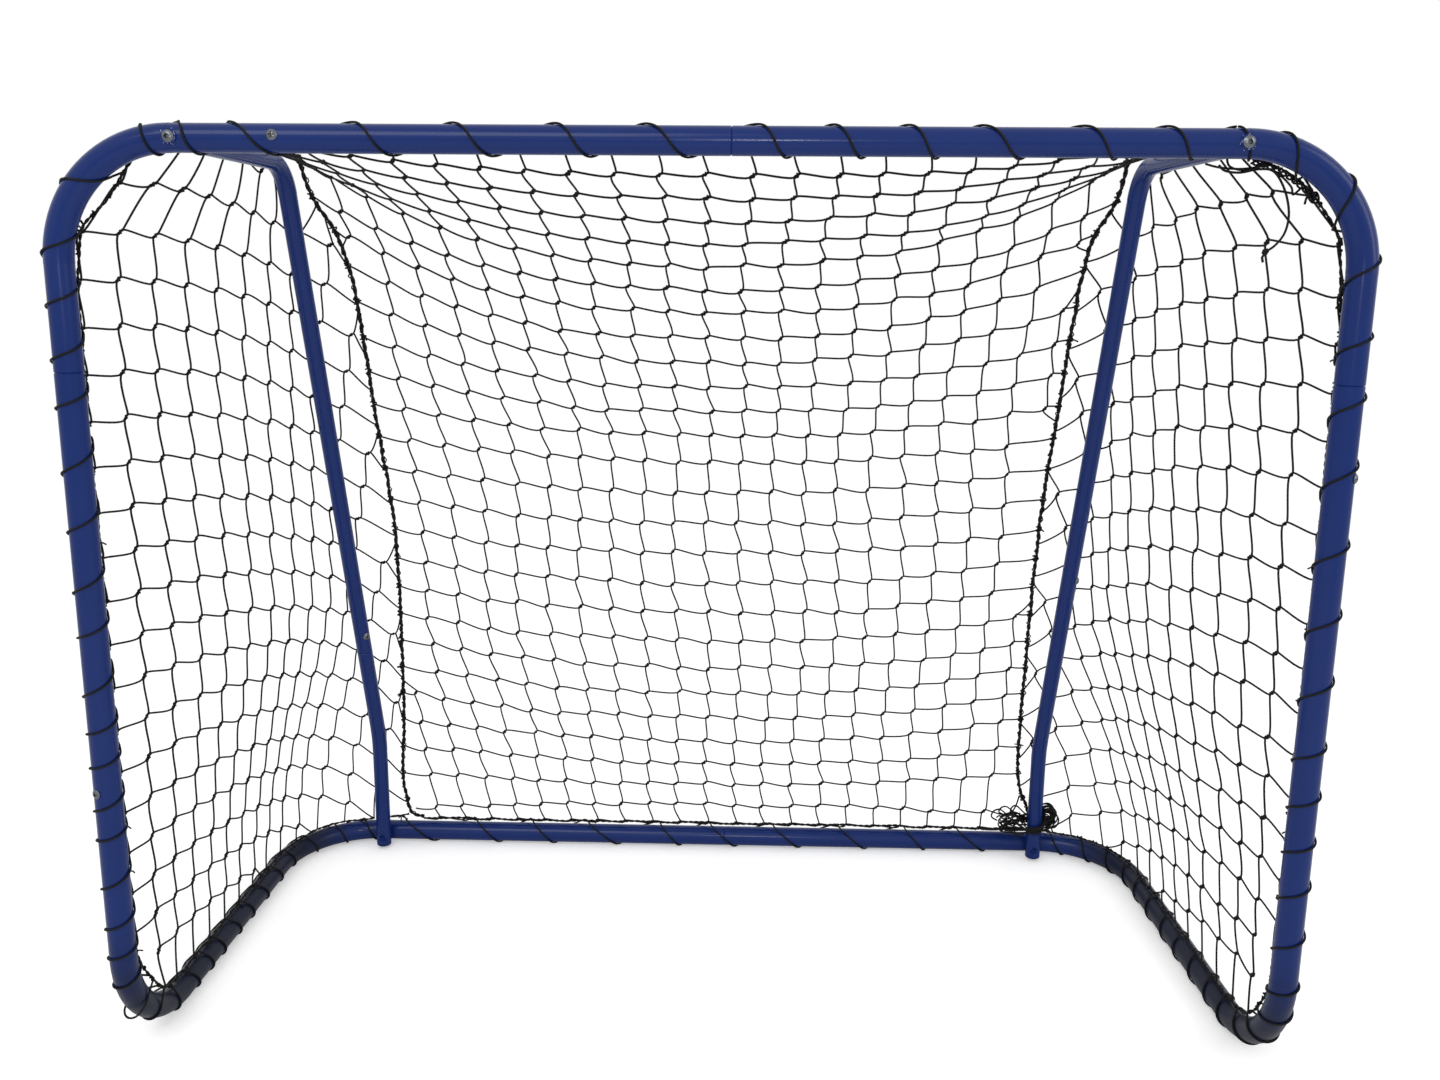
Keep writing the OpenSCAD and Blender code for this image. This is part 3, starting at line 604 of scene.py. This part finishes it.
# Sides: rows level at the front selvedge, dropping towards the post and the rope behind it. Their
# edges run down from the crossbar and back over the floor tubes; the left one cuts its low corner.
TOP_LEFT = [(466, 30, 897), (480, 29, 888), (494, 28, 876), (507, 27, 858), (520, 27, 840),
            (534, 27, 827), (546, 27, 816), (551, 27, 803), (555, 27, 765)]
TOP_RIGHT = [(466, 30, 897), (470, 29, 880), (482, 28, 872), (497, 28, 866), (511, 27, 856),
             (525, 27, 843), (537, 27, 828), (546, 27, 811), (551, 27, 792), (554, 27, 765)]
FRONT_EDGE = [(557, 27, 700), (558, 27, 440), (558, 27, 140)]
CORNER_CUT = [(556, 28, 104), (549, 36, 76), (550, 60, 49), (558, 98, 31)]
CORNER_FULL = [(557, 32, 94), (556, 52, 56), (559, 94, 31)]
BACK_EDGE = [(558, 150, 28), (556, 260, 28), (551, 368, 28), (546, 404, 28), (530, 446, 28),
             (505, 470, 28), (478, 476, 30), (456, 480, 32)]
# Way of the rows over the floor tubes, and the height under which they spread out to it
LOW_ROUTE = Line([(558, 27, 0)] + [(q[0], q[1], 0) for q in BACK_EDGE])
FLARE = 420
EDGES = {-1: Line(smooth(TOP_LEFT + FRONT_EDGE + CORNER_CUT + BACK_EDGE, 6)),
         1: Line(smooth(TOP_RIGHT + FRONT_EDGE + CORNER_FULL + BACK_EDGE, 6))}
SIDE_ROWS, SIDE_COLUMNS, SIDE_PITCH, SIDE_TOP = 21, 16, 42.5, 852
# A row falls by its length squared over this
ROW_FALL = 1900
# Knots keep this far from the rope and the floor edge, and under this height at the arm
ROPE_GAP, FLOOR_GAP, ARM_UNDER = 12, 16, 890
# The longest strand from a knot to the rope or the floor edge
TIE_REACH = 75


def at_height(points, height):
    """Where a line that runs downwards is at a height: its distance from the middle and its depth."""
    q = points[0] if height > points[0].z else points[-1]
    for a, b in zip(points, points[1:]):
        if a.z >= height >= b.z:
            q = a.lerp(b, (a.z - height) / max(a.z - b.z, 1e-6))
            break
    return Vector((abs(q.x), q.y, 0))


def front_at(height, side):
    """The front selvedge at a height."""
    return at_height([q for q in EDGES[side].p if q.y < 60 and q.z > 60], height)


def rope_at(rope, height):
    """A corner rope at a height."""
    return at_height(rope.p, height)


def floor_edge(depth, side):
    """Point of the net's lower edge over the floor tube at a depth."""
    points = [q for q in EDGES[side].p if q.z < 130]
    for a, b in zip(points, points[1:]):
        if a.y <= depth <= b.y and b.y > a.y:
            return a.lerp(b, (depth - a.y) / (b.y - a.y))
    return points[0] if depth < points[0].y else points[-1]


def side_point(along, height, side, rope):
    """Point of a side net at a distance from the front selvedge, and how much of the way is left."""
    front = front_at(height, side)
    px, pd = post_at(height)
    bend = Vector((px + POST_R + 1.5, pd + 6, 0))
    behind = Vector((px + 3, pd + POST_R + 2, 0))
    end = rope_at(rope, height)
    high = Line([front, bend, behind, end])
    if height > FLARE:
        route = high
    else:
        rise = max(height - 28, 0) / (FLARE - 28)
        rise = rise * rise * (3 - 2 * rise)
        low = Line(LOW_ROUTE.p + [end])
        route = Line([low(low.length * k / 24).lerp(high(high.length * k / 24), rise)
                      for k in range(25)])
    p = route(along)
    first = (bend - front).length
    slack = math.sin(math.pi * min(along / first, 1)) if first > 1 else 0
    p.x -= 5 * slack * min(1, height / FLARE)
    p.z = height
    return p, route.length - along


def elbow_drop(depth):
    """How far the outside of the elbow lies under the arm's top at a depth."""
    return 0.8 * min(max(depth - 215, 0), 40)


def side_net(side, rope):
    def height_of(column, row):
        """Rows fall away behind the front selvedge."""
        return SIDE_TOP - SIDE_PITCH * row - (column * COLUMN) ** 2 / ROW_FALL

    def place(column, row):
        height = height_of(column, row) - (3 if column == 0 else 0)
        p, _ = side_point(column * COLUMN, height, side, rope)
        p = p + uneven((column * 17 + row * 5 + 400 * side) * 13.7) * (0.5 if column == 0 else 1)
        return Vector((side * p.x, p.y, p.z))

    def state(column, row):
        """Inside the side net, past the rope, under the floor edge, or over the arm."""
        height = height_of(column, row)
        p, left = side_point(column * COLUMN, height, side, rope)
        if left < ROPE_GAP:
            return "rope"
        if height < floor_edge(p.y, side).z + FLOOR_GAP:
            return "floor"
        if height > ARM_UNDER - elbow_drop(p.y):
            return "arm"
        return "in"

    name = "left" if side < 0 else "right"
    net = Net("Net_side_" + name, place)
    keys = {(c, r): state(c, r) for c in range(SIDE_COLUMNS) for r in range(-2, SIDE_ROWS + 6)}
    for key in sorted(k for k, s in keys.items() if s == "in"):
        c, r = key
        away = place(c + 1, r) - place(max(c - 1, 0), r)
        up = place(c, r - 1) - place(c, r + 1)
        net.knot(key, away if side < 0 else -away, up)
    z = Vector((0, 0, 1))
    for (c, r) in sorted(net.knots):
        here, beside, above, below = (c, r), (c + 1, r), (c, r - 1), (c, r + 1)
        p = net.knots[here][0]
        away = Vector((-side, 0.4, 0)).normalized()
        if beside in net.knots:
            if side < 0:
                net.strand(net.high(here), net.low(beside))
            else:
                net.strand(net.high(beside), net.low(here))
        else:
            target = None
            if keys.get(beside) == "floor":
                q = floor_edge(p.y + 28, side)
                target = Vector((side * q.x, q.y, q.z))
            elif keys.get(beside) == "rope":
                q = rope_at(rope, p.z - 22)
                target = Vector((side * q.x, q.y, p.z - 22))
            if target is not None and (target - p).length < TIE_REACH:
                if side < 0:
                    net.strand(net.high(here), (target, away))
                else:
                    net.strand((target, -away), net.low(here))
        if c == 0:
            q = front_at(p.z, side)
            edge = Vector((side * (q.x + 3), q.y, p.z - 2))
            if side < 0:
                net.strand((edge, away), net.low(here), 0.3)
            else:
                net.strand(net.high(here), (edge, -away), 0.3)
        if above in net.knots:
            net.strand(net.high(here), net.low(above), 0.5 if c == 0 else 1)
        else:
            height = p.z + 30
            if keys.get(above) == "rope":
                q = rope_at(rope, height)
                target = Vector((side * q.x, q.y, height))
            else:
                share = min(1, max(0, (p.y - 30) / 216))
                depth = min(max(30, p.y), 250)
                target = Vector((side * (462 - 5 * share), depth, 896 - elbow_drop(p.y)))
                if p.y < 60:
                    target = Vector((side * min(abs(p.x), 500), 29, 884))
            if (target - p).length < 90:
                net.strand(net.high(here), (target, z))
        if below not in net.knots:
            q = floor_edge(p.y, side)
            target = Vector((side * q.x, q.y, q.z))
            if (target - p).length < TIE_REACH:
                net.strand((target, z), net.low(here))
    return net.made()


# ---- Ropes ----
ROPE_TIES = 22


def tuft(p, out, seed):
    """A few frayed ends at a tie."""
    r = random.Random(seed)
    ends = []
    for _ in range(3):
        way = (out + Vector((r.uniform(-1, 1), r.uniform(-1, 1), r.uniform(-0.8, 0.6)))).normalized()
        bend = Vector((r.uniform(-1, 1), r.uniform(-1, 1), -0.5)) * 3
        ends.append([at(p), at(p + way * 4 + bend * 0.2), at(p + way * r.uniform(4.5, 7.5) + bend)])
    return ends


def twisted(line, spread, pitch, strands, seed, sway=0.8):
    """Strands laid round one another along a line."""
    drift = wander(sway, 24, seed)
    wires = []
    for k in range(strands):
        wire = []
        count = int(line.length / 3)
        for i in range(count + 1):
            s = line.length * i / count
            t = line.run(s)
            n = (t.orthogonal() if abs(t.y) > 0.95 else t.cross(Vector((0, 1, 0)))).normalized()
            b = t.cross(n)
            a = math.tau * (s / pitch + k / strands)
            wire.append(at(line(s) + (n * math.cos(a) + b * math.sin(a)) * spread + drift(s)))
        wires.append(wire)
    return wires


def corner_rope(name, line, seed):
    """Two thick strands whipped with a thinner one, and the net's ties round them."""
    core = cords(name + "_core", twisted(line, 1.2, 22, 2, seed), 2.6, 6, CORD_BLACK)
    whipping = cords(name + "_whipping", twisted(line, 2.5, 13, 1, seed + 1, 0.9), 1.6, 5, CORD_BLACK)
    ties = []
    r = random.Random(seed)
    for i in range(ROPE_TIES):
        s = line.length * i / ROPE_TIES
        p, t = line(s), line.run(s)
        n = t.orthogonal().normalized()
        b = t.cross(n)
        ties.append([at(p + t * (0.9 * k - 3)
                        + (n * math.cos(k * 1.1) + b * math.sin(k * 1.1)) * r.uniform(2.9, 3.9))
                     for k in range(9)])
        if r.random() < 0.4:
            ties += tuft(p, n if r.random() < 0.5 else -n, seed + int(s))
    knots = cords(name + "_ties", ties, 1.9, 5, CORD_BLACK)
    return joined(name, [core, whipping, knots])


def selvedge(name, side, seed):
    """The net's edge rope, with the tight knots that hold the net to it and a frayed end here and
    there."""
    line = Line([Vector((side * q.x, q.y, q.z)) for q in EDGES[side].p])
    wires = twisted(line, 0.8, 16, 2, seed, 1.1)
    r = random.Random(seed)
    s = 20.0
    while s < line.length - 10:
        p, t = line(s), line.run(s)
        n = t.orthogonal().normalized()
        b = t.cross(n)
        wires.append([at(p + t * (0.8 * k - 2.4) + (n * math.cos(k * 1.2) + b * math.sin(k * 1.2)) * 1.6)
                      for k in range(7)])
        if r.random() < 0.3:
            wires += tuft(p, Vector((-side, 0.2, 0.1)), seed + int(s))[:1]
        s += SIDE_PITCH / 2 * r.uniform(0.8, 1.2)
    return cords(name, wires, 1.6, 5, CORD_BLACK)


def straight_edge(name, a, b, seed):
    return cords(name, twisted(Line([a, b]), 0.9, 16, 2, seed, 1.2), 1.9, 5, CORD_BLACK)


# ---- Lacing ----
LACE_R = TUBE_R + CORD / 2 + 0.15
# The cord's middle comes no lower than this, where the cord lies on the floor
LOWEST = CORD / 2 - LIFT
TURN_STEPS = 36


def carried_frames(line, up):
    """At every millimetre of a line, its run and a direction across it that starts at up and turns
    with the line."""
    t = line.run(0)
    n = (up - t * up.dot(t)).normalized()
    frames = []
    for s in range(int(line.length) + 1):
        ahead = line.run(s)
        n = (t.rotation_difference(ahead) @ n).normalized()
        t = ahead
        frames.append((t.copy(), n.copy()))
    return frames


def nearest(line, p):
    return min(line.p, key=lambda q: (q - p).length_squared)


def lacing(name, line, up, stations, hand, net_share, edge, slack=None):
    """A cord wound round a tube and round the net's edge beside it. stations are the distances
    along the line at which it crosses the side marked by up. Once a turn, about net_share of the
    way round, it leaves the tube, runs straight to the net's edge, goes round it and comes back.
    slack gives a turn's number, the share of it and the size of a loop that hangs loose."""
    frames = carried_frames(line, up)

    def frame_at(s):
        return frames[min(max(round(s), 0), len(frames) - 1)]

    def along(a0, a1, share):
        """Distance along the line at a share of a turn: most of the step is taken at the net."""
        swing = math.sin(math.tau * (share - net_share)) + math.sin(math.tau * net_share)
        return a0 + (a1 - a0) * (share + 0.35 * swing / math.tau)

    wire = []
    for turn, (a0, a1) in enumerate(zip(stations, stations[1:])):
        s = along(a0, a1, net_share)
        t, n = frame_at(s)
        b = t.cross(n) * hand
        reach = nearest(edge, line(s)) - line(s)
        reach -= t * reach.dot(t)
        far = min(max(reach.length + 1.8, LACE_R + 1.5), LACE_R + 34)
        turned = math.atan2(reach.dot(b), reach.dot(n)) - math.tau * net_share
        turned = (turned + math.pi) % math.tau - math.pi
        leave = math.acos(LACE_R / far)
        for k in range(TURN_STEPS):
            share = k / TURN_STEPS
            s = along(a0, a1, share)
            t, n = frame_at(s)
            b = t.cross(n) * hand
            past = (math.tau * (share - net_share) + math.pi) % math.tau - math.pi
            weight = math.cos(past / 2) ** 2
            angle = math.tau * share + turned * weight
            off = math.sqrt((past + turned * (weight - 1)) ** 2 + 0.01) - 0.1
            radius = LACE_R / math.cos(max(0, leave - off))
            if slack and slack[0] == turn:
                radius += slack[2] * max(0, math.cos(math.tau * (share - slack[1]))) ** 3
            p = line(s) + (n * math.cos(angle) + b * math.sin(angle)) * radius
            p.z = max(p.z, LOWEST)
            wire.append(at(p))
    return cords(name, [wire], CORD, 8, CORD_BLACK)


def spread(start, end, count, seed):
    """Stations at uneven steps between two distances."""
    r = random.Random(seed)
    gaps = [r.uniform(0.72, 1.3) for _ in range(count)]
    total = sum(gaps)
    out = [start]
    for g in gaps:
        out.append(out[-1] + g * (end - start) / total)
    return out


BAR = Line([(-447, FRONT_DEPTH, TOP_H), (447, FRONT_DEPTH, TOP_H)])
BAR_TURNS = [-447, -403, -296, -211, -124, -47, 48, 111, 174, 236, 321, 390, 447]
UPRIGHT = rounded([(447, FRONT_DEPTH, TOP_H), (SIDE_X, FRONT_DEPTH, TOP_H),
                   (SIDE_X, FRONT_DEPTH, 112)], [TOP_BEND])
UPRIGHT_LEFT_TURNS = [0, 31, 112, 171, 215, 263, 305, 365, 419, 476, 518, 576, 612, 646, 690,
                      719, 771, 813, 843]
FLOOR_TURNS, REAR_TURNS = 15, 10
UPRIGHT_RIGHT_TURNS = [0, 37, 96, 162, 226, 278, 337, 409, 473, 536, 600, 648, 694, 738, 790, 843]
FLOOR = rounded([(SIDE_X, FRONT_DEPTH, 116), (SIDE_X, FRONT_DEPTH, BASE_H), (REAR_X, REAR_DEPTH, BASE_H),
                 (442, REAR_DEPTH, BASE_H)], [FOOT_BEND, REAR_BEND])
REAR = Line([(-426, REAR_DEPTH, BASE_H), (426, REAR_DEPTH, BASE_H)])
TOP_EDGE = Line([Vector((x, 29, 892)) for x in range(-466, 467, 4)])
REAR_EDGE = Line([Vector((x, 485, 32)) for x in range(-388, 425, 4)])


def all_lacing():
    out = {}
    stations = [x + 447 for x in BAR_TURNS]
    up = Vector((0, 0, 1))
    out["lacing_crossbar"] = lacing("Lacing_crossbar", BAR, up, stations, 1, 0.72, TOP_EDGE)
    for side, name, turns in ((-1, "left", UPRIGHT_LEFT_TURNS), (1, "right", UPRIGHT_RIGHT_TURNS)):
        edge = Line([Vector((side * q.x, q.y, q.z)) for q in EDGES[side].p])
        line = Line(UPRIGHT if side > 0 else mirror(UPRIGHT))
        net_share = 0.59 if side > 0 else 0.41
        out["lacing_upright_" + name] = lacing(
            "Lacing_upright_" + name, line, up, turns, 1, net_share, edge)
        line = Line(FLOOR if side > 0 else mirror(FLOOR))
        turns = spread(2, line.length - 4, FLOOR_TURNS, 50 + side)
        net_share = 0.62 if side > 0 else 0.38
        out["lacing_floor_" + name] = lacing(
            "Lacing_floor_" + name, line, Vector((side, 0, 0)), turns, 1, net_share, edge,
            (1, 0.76, 6) if side < 0 else None)
    turns = spread(2, REAR.length - 2, REAR_TURNS, 77)
    out["lacing_rear"] = lacing("Lacing_rear", REAR, up, turns, 1, 0.05, REAR_EDGE)
    return out


# ---- The lacing's free end and the spare cord ----
TAIL_ROUTE = [(436, 17, 870), (444, 23, 866), (458, 26, 865), (474, 28, 868), (487, 28, 866),
              (497, 27, 851), (502, 26, 832), (500, 25, 816), (493, 25, 805), (485, 25, 799)]


def lacing_tail():
    """The end of the lacing hangs from the crossbar's right corner and ends in a small knot."""
    route = smooth(TAIL_ROUTE, 6)
    cord = cords("Lacing_tail_cord", [[at(q) for q in route]], CORD, 8, CORD_BLACK)
    end = route[-1]
    ball = [at(end + Vector((2.1 * math.sin(k * 1.3), 1.8 * math.sin(k * 0.9 + 1),
                             2.1 * math.cos(k * 1.3)))) for k in range(11)]
    frayed = [[at(end), at(end + Vector((-3, -1, -5))), at(end + Vector((-2, -1, -9)))]]
    knot = cords("Lacing_tail_knot", [ball] + frayed, 2.2, 6, CORD_BLACK)
    length = sum((b - a).length for a, b in zip(route, route[1:]))
    return cord, knot, [at(q) for q in route], length / 1000


POST_FOOT = Vector((440, 465.5, 0))
SPARE_TURNS = 14


def spare_cord():
    """Spare lacing wound round the foot of the right post. Every turn runs tight across the post's
    front and back, curls once on the right and goes out in a slack, twisted bight on the left."""
    r = random.Random(11)
    close = POST_R + CORD / 2 + 0.4
    route = []
    for k in range(SPARE_TURNS):
        layer = close + 1.1 * (k % 3)
        front_z, back_z = r.uniform(43, 52), r.uniform(42, 60)
        route += [POST_FOOT + Vector((x, -layer, front_z + x * 0.25)) for x in (-7, 6)]
        middle = POST_FOOT + Vector((close + r.uniform(4, 10), r.uniform(-9, 9), r.uniform(53, 66)))
        size, lean = r.uniform(4.5, 12), r.uniform(-0.5, 0.5)
        route += [middle + Vector((size * math.cos(a), size * lean * math.cos(a) + 3 * math.sin(a / 2),
                                   size * math.sin(a))) for a in (-2.0, -0.9, 0.2, 1.3, 2.4, 3.5, 4.6)]
        route += [POST_FOOT + Vector((x, layer, back_z + x * 0.2)) for x in (6, -7)]
        out_x, out_z = -close - r.uniform(14, 40), r.uniform(42, 66)
        route += [POST_FOOT + Vector((out_x * 0.75, r.uniform(0, 8), out_z + r.uniform(2, 6))),
                  POST_FOOT + Vector((out_x, r.uniform(-6, 6), out_z)),
                  POST_FOOT + Vector((out_x * 0.8, r.uniform(-9, -1), out_z - r.uniform(3, 9)))]
    ends = [[(414, 459, 62), (404, 455, 66), (396, 454, 61), (391, 457, 64), (388, 460, 60)],
            [(412, 472, 50), (402, 474, 42), (396, 474, 36), (386, 476, 34), (372, 479, 33)],
            [(404, 466, 60), (393, 463, 70), (384, 462, 68), (382, 464, 59), (390, 466, 53)]]
    wires = [smooth(route, 5)] + [smooth(e, 5) for e in ends]
    return cords("Spare_cord", [[at(q) for q in w] for w in wires], CORD, 6, CORD_BLACK)


def foot_tie():
    """The short double tie from the left post's foot to the corner rope, with its frayed end."""
    tie = [[(-431, 470 + k, 40), (-424, 473, 39.5 + k), (-416, 477 - k, 39), (-408, 479, 40 + k)]
           for k in (-1, 1)]
    wires = [[at(q) for q in smooth(t, 5)] for t in tie]
    ends = tuft(Vector((-418, 475, 39)), Vector((0.3, -0.3, -0.8)), 5)
    return cords("Foot_tie", wires + ends, 1.8, 5, CORD_BLACK)


def corner_bunch():
    """Lacing and net edge bunched together along the inside of the crossbar's right corner."""
    middle = smooth([(468, 28, 873), (482, 28, 871), (496, 27, 865), (510, 26, 855), (524, 26, 843)], 6)
    wires = twisted(Line(middle), 2.2, 19, 3, 12, 2.6)
    loops = [[(428, 27, 872), (440, 26, 869), (457, 26, 868), (474, 27, 870), (486, 27, 874)],
             [(446, 28, 878), (449, 27, 870), (462, 26, 867), (476, 26, 872), (488, 28, 877)],
             [(484, 27, 868), (494, 26, 861), (502, 26, 853), (504, 26, 847), (512, 27, 853),
              (519, 27, 850)],
             [(514, 27, 851), (520, 26, 841), (526, 26, 842), (524, 27, 849), (517, 27, 846),
              (515, 27, 839)]]
    wires += [[at(q) for q in smooth(route, 5)] for route in loops]
    return cords("Corner_bunch", wires, 2.0, 5, CORD_BLACK)


tail, tail_knot, tail_path, tail_length = lacing_tail()
spare = spare_cord()
back = back_net()
side_left = side_net(-1, LEFT_ROPE)
side_right = side_net(1, RIGHT_ROPE)
rope_left = corner_rope("Corner_rope_left", LEFT_ROPE, 81)
rope_right = corner_rope("Corner_rope_right", RIGHT_ROPE, 83)
edge_left = selvedge("Edge_rope_left", -1, 91)
edge_right = selvedge("Edge_rope_right", 1, 92)
edge_top = straight_edge("Edge_rope_top", (-466, 29, 892), (466, 29, 892), 93)
edge_rear = straight_edge("Edge_rope_rear", (-389, 485, 32), (424, 485, 32), 94)
laced = all_lacing()
tie = foot_tie()
bunch = corner_bunch()

# ---- CAD pieces keep their shapes and get their finishes ----
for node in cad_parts:
    obj = bpy.data.objects.get(node)
    if obj is None or obj.type != "MESH":
        continue
    if node.startswith("crossbar_tube") or node == "arm_washers":
        finish = PAINT_SCRATCHED_AND_GLINTING
    elif "tube" in node or node.startswith(("post_upper", "post_lower", "foot_")):
        finish = PAINT
    else:
        finish = ZINC
    for slot in obj.material_slots:
        slot.material = finish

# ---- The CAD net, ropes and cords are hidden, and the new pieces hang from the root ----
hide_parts("net_roof", "net_back_high", "net_back", "net_back_low",
            *["net_%s_%s" % (name, part) for name in ("left", "right")
              for part in ("roof", "back_a", "back_b", "back_c", "back_d", "back_e")])
for side, piece in (("left", side_left), ("right", side_right)):
    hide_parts(*["net_%s_%s" % (side, part)
                         for part in ("top", "front", "side", "corner", "heel")])
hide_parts("corner_rope_left")
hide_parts("corner_rope_right")
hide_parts("edge_rope_left")
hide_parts("edge_rope_right")
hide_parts("edge_rope_top")
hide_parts("edge_rope_rear")
for node, piece in laced.items():
    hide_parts(node)
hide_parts("spare_cord")
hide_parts("lacing_tail")
for piece in (back, side_left, side_right):
    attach(piece, "root")
for piece in [rope_left, rope_right, edge_left, edge_right, edge_top, edge_rear, spare, tail, tail_knot,
              tie, bunch, *laced.values()]:
    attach(piece, "root")
bpy.data.objects.remove(KNOT)


# ---- Floor and light ----
def floor():
    """A plain pale floor, as white as the air round it to the eye."""
    mesh = bpy.data.meshes.new("Floor")
    half = 30
    corners = [(-half, -half, 0), (half, -half, 0), (half, half, 0), (-half, half, 0)]
    mesh.from_pydata(corners, [], [(0, 1, 2, 3)])
    obj = bpy.data.objects.new("Floor", mesh)
    bpy.context.collection.objects.link(obj)
    m, t = new_material("Pale studio floor")
    seen = add(t, "ShaderNodeLightPath").outputs["Is Camera Ray"]
    glow = add(t, "ShaderNodeMath", {"operation": "MULTIPLY"}, {0: seen, 1: 0.34}).outputs[0]
    bsdf = add(t, "ShaderNodeBsdfPrincipled", inputs={
        "Base Color": lin("#F8F8F8"), "Roughness": 0.9, "Specular IOR Level": 0.2,
        "Emission Color": lin("#FFFFFF"), "Emission Strength": glow})
    finish_material(t, bsdf)
    mesh.materials.append(m)


def area_light(name, place, target, size, power):
    data = bpy.data.lights.new(name, "AREA")
    data.shape = "RECTANGLE"
    data.size, data.size_y = size
    data.energy = power
    obj = bpy.data.objects.new(name, data)
    obj.location = place
    obj.rotation_euler = (Vector(target) - Vector(place)).to_track_quat("-Z", "Y").to_euler()
    bpy.context.collection.objects.link(obj)


def studio():
    """White all round to the eye and in reflections, and a softer fill light for everything else."""
    world = bpy.data.worlds.new("Studio")
    world.use_nodes = True
    t = world.node_tree
    t.nodes.clear()
    path = add(t, "ShaderNodeLightPath").outputs
    seen = add(t, "ShaderNodeMath", {"operation": "MAXIMUM"}, {
        0: path["Is Camera Ray"], 1: path["Is Glossy Ray"]}).outputs[0]
    seen = add(t, "ShaderNodeMath", {"operation": "MAXIMUM"}, {
        0: seen, 1: path["Is Transmission Ray"]}).outputs[0]
    strength = add(t, "ShaderNodeMapRange", inputs={
        "Value": seen, "To Min": 0.72, "To Max": 1.0}).outputs["Result"]
    sky = add(t, "ShaderNodeBackground", inputs={"Color": lin("#FFFFFF"), "Strength": strength})
    add(t, "ShaderNodeOutputWorld", inputs={"Surface": sky.outputs["Background"]})
    bpy.context.scene.world = world


floor()
studio()
area_light("Softbox over the front", (-0.9, -2.2, 2.4), (0, 0, 0.4), (1.6, 1.2), 22)
area_light("Softbox right", (2.4, -1.2, 1.6), (0, 0, 0.5), (1.0, 1.6), 12)
area_light("Lamp in front", (0.1, -1.9, 0.92), (0, 0, 0.7), (0.12, 0.16), 3)
bpy.context.scene.view_settings.view_transform = "Standard"
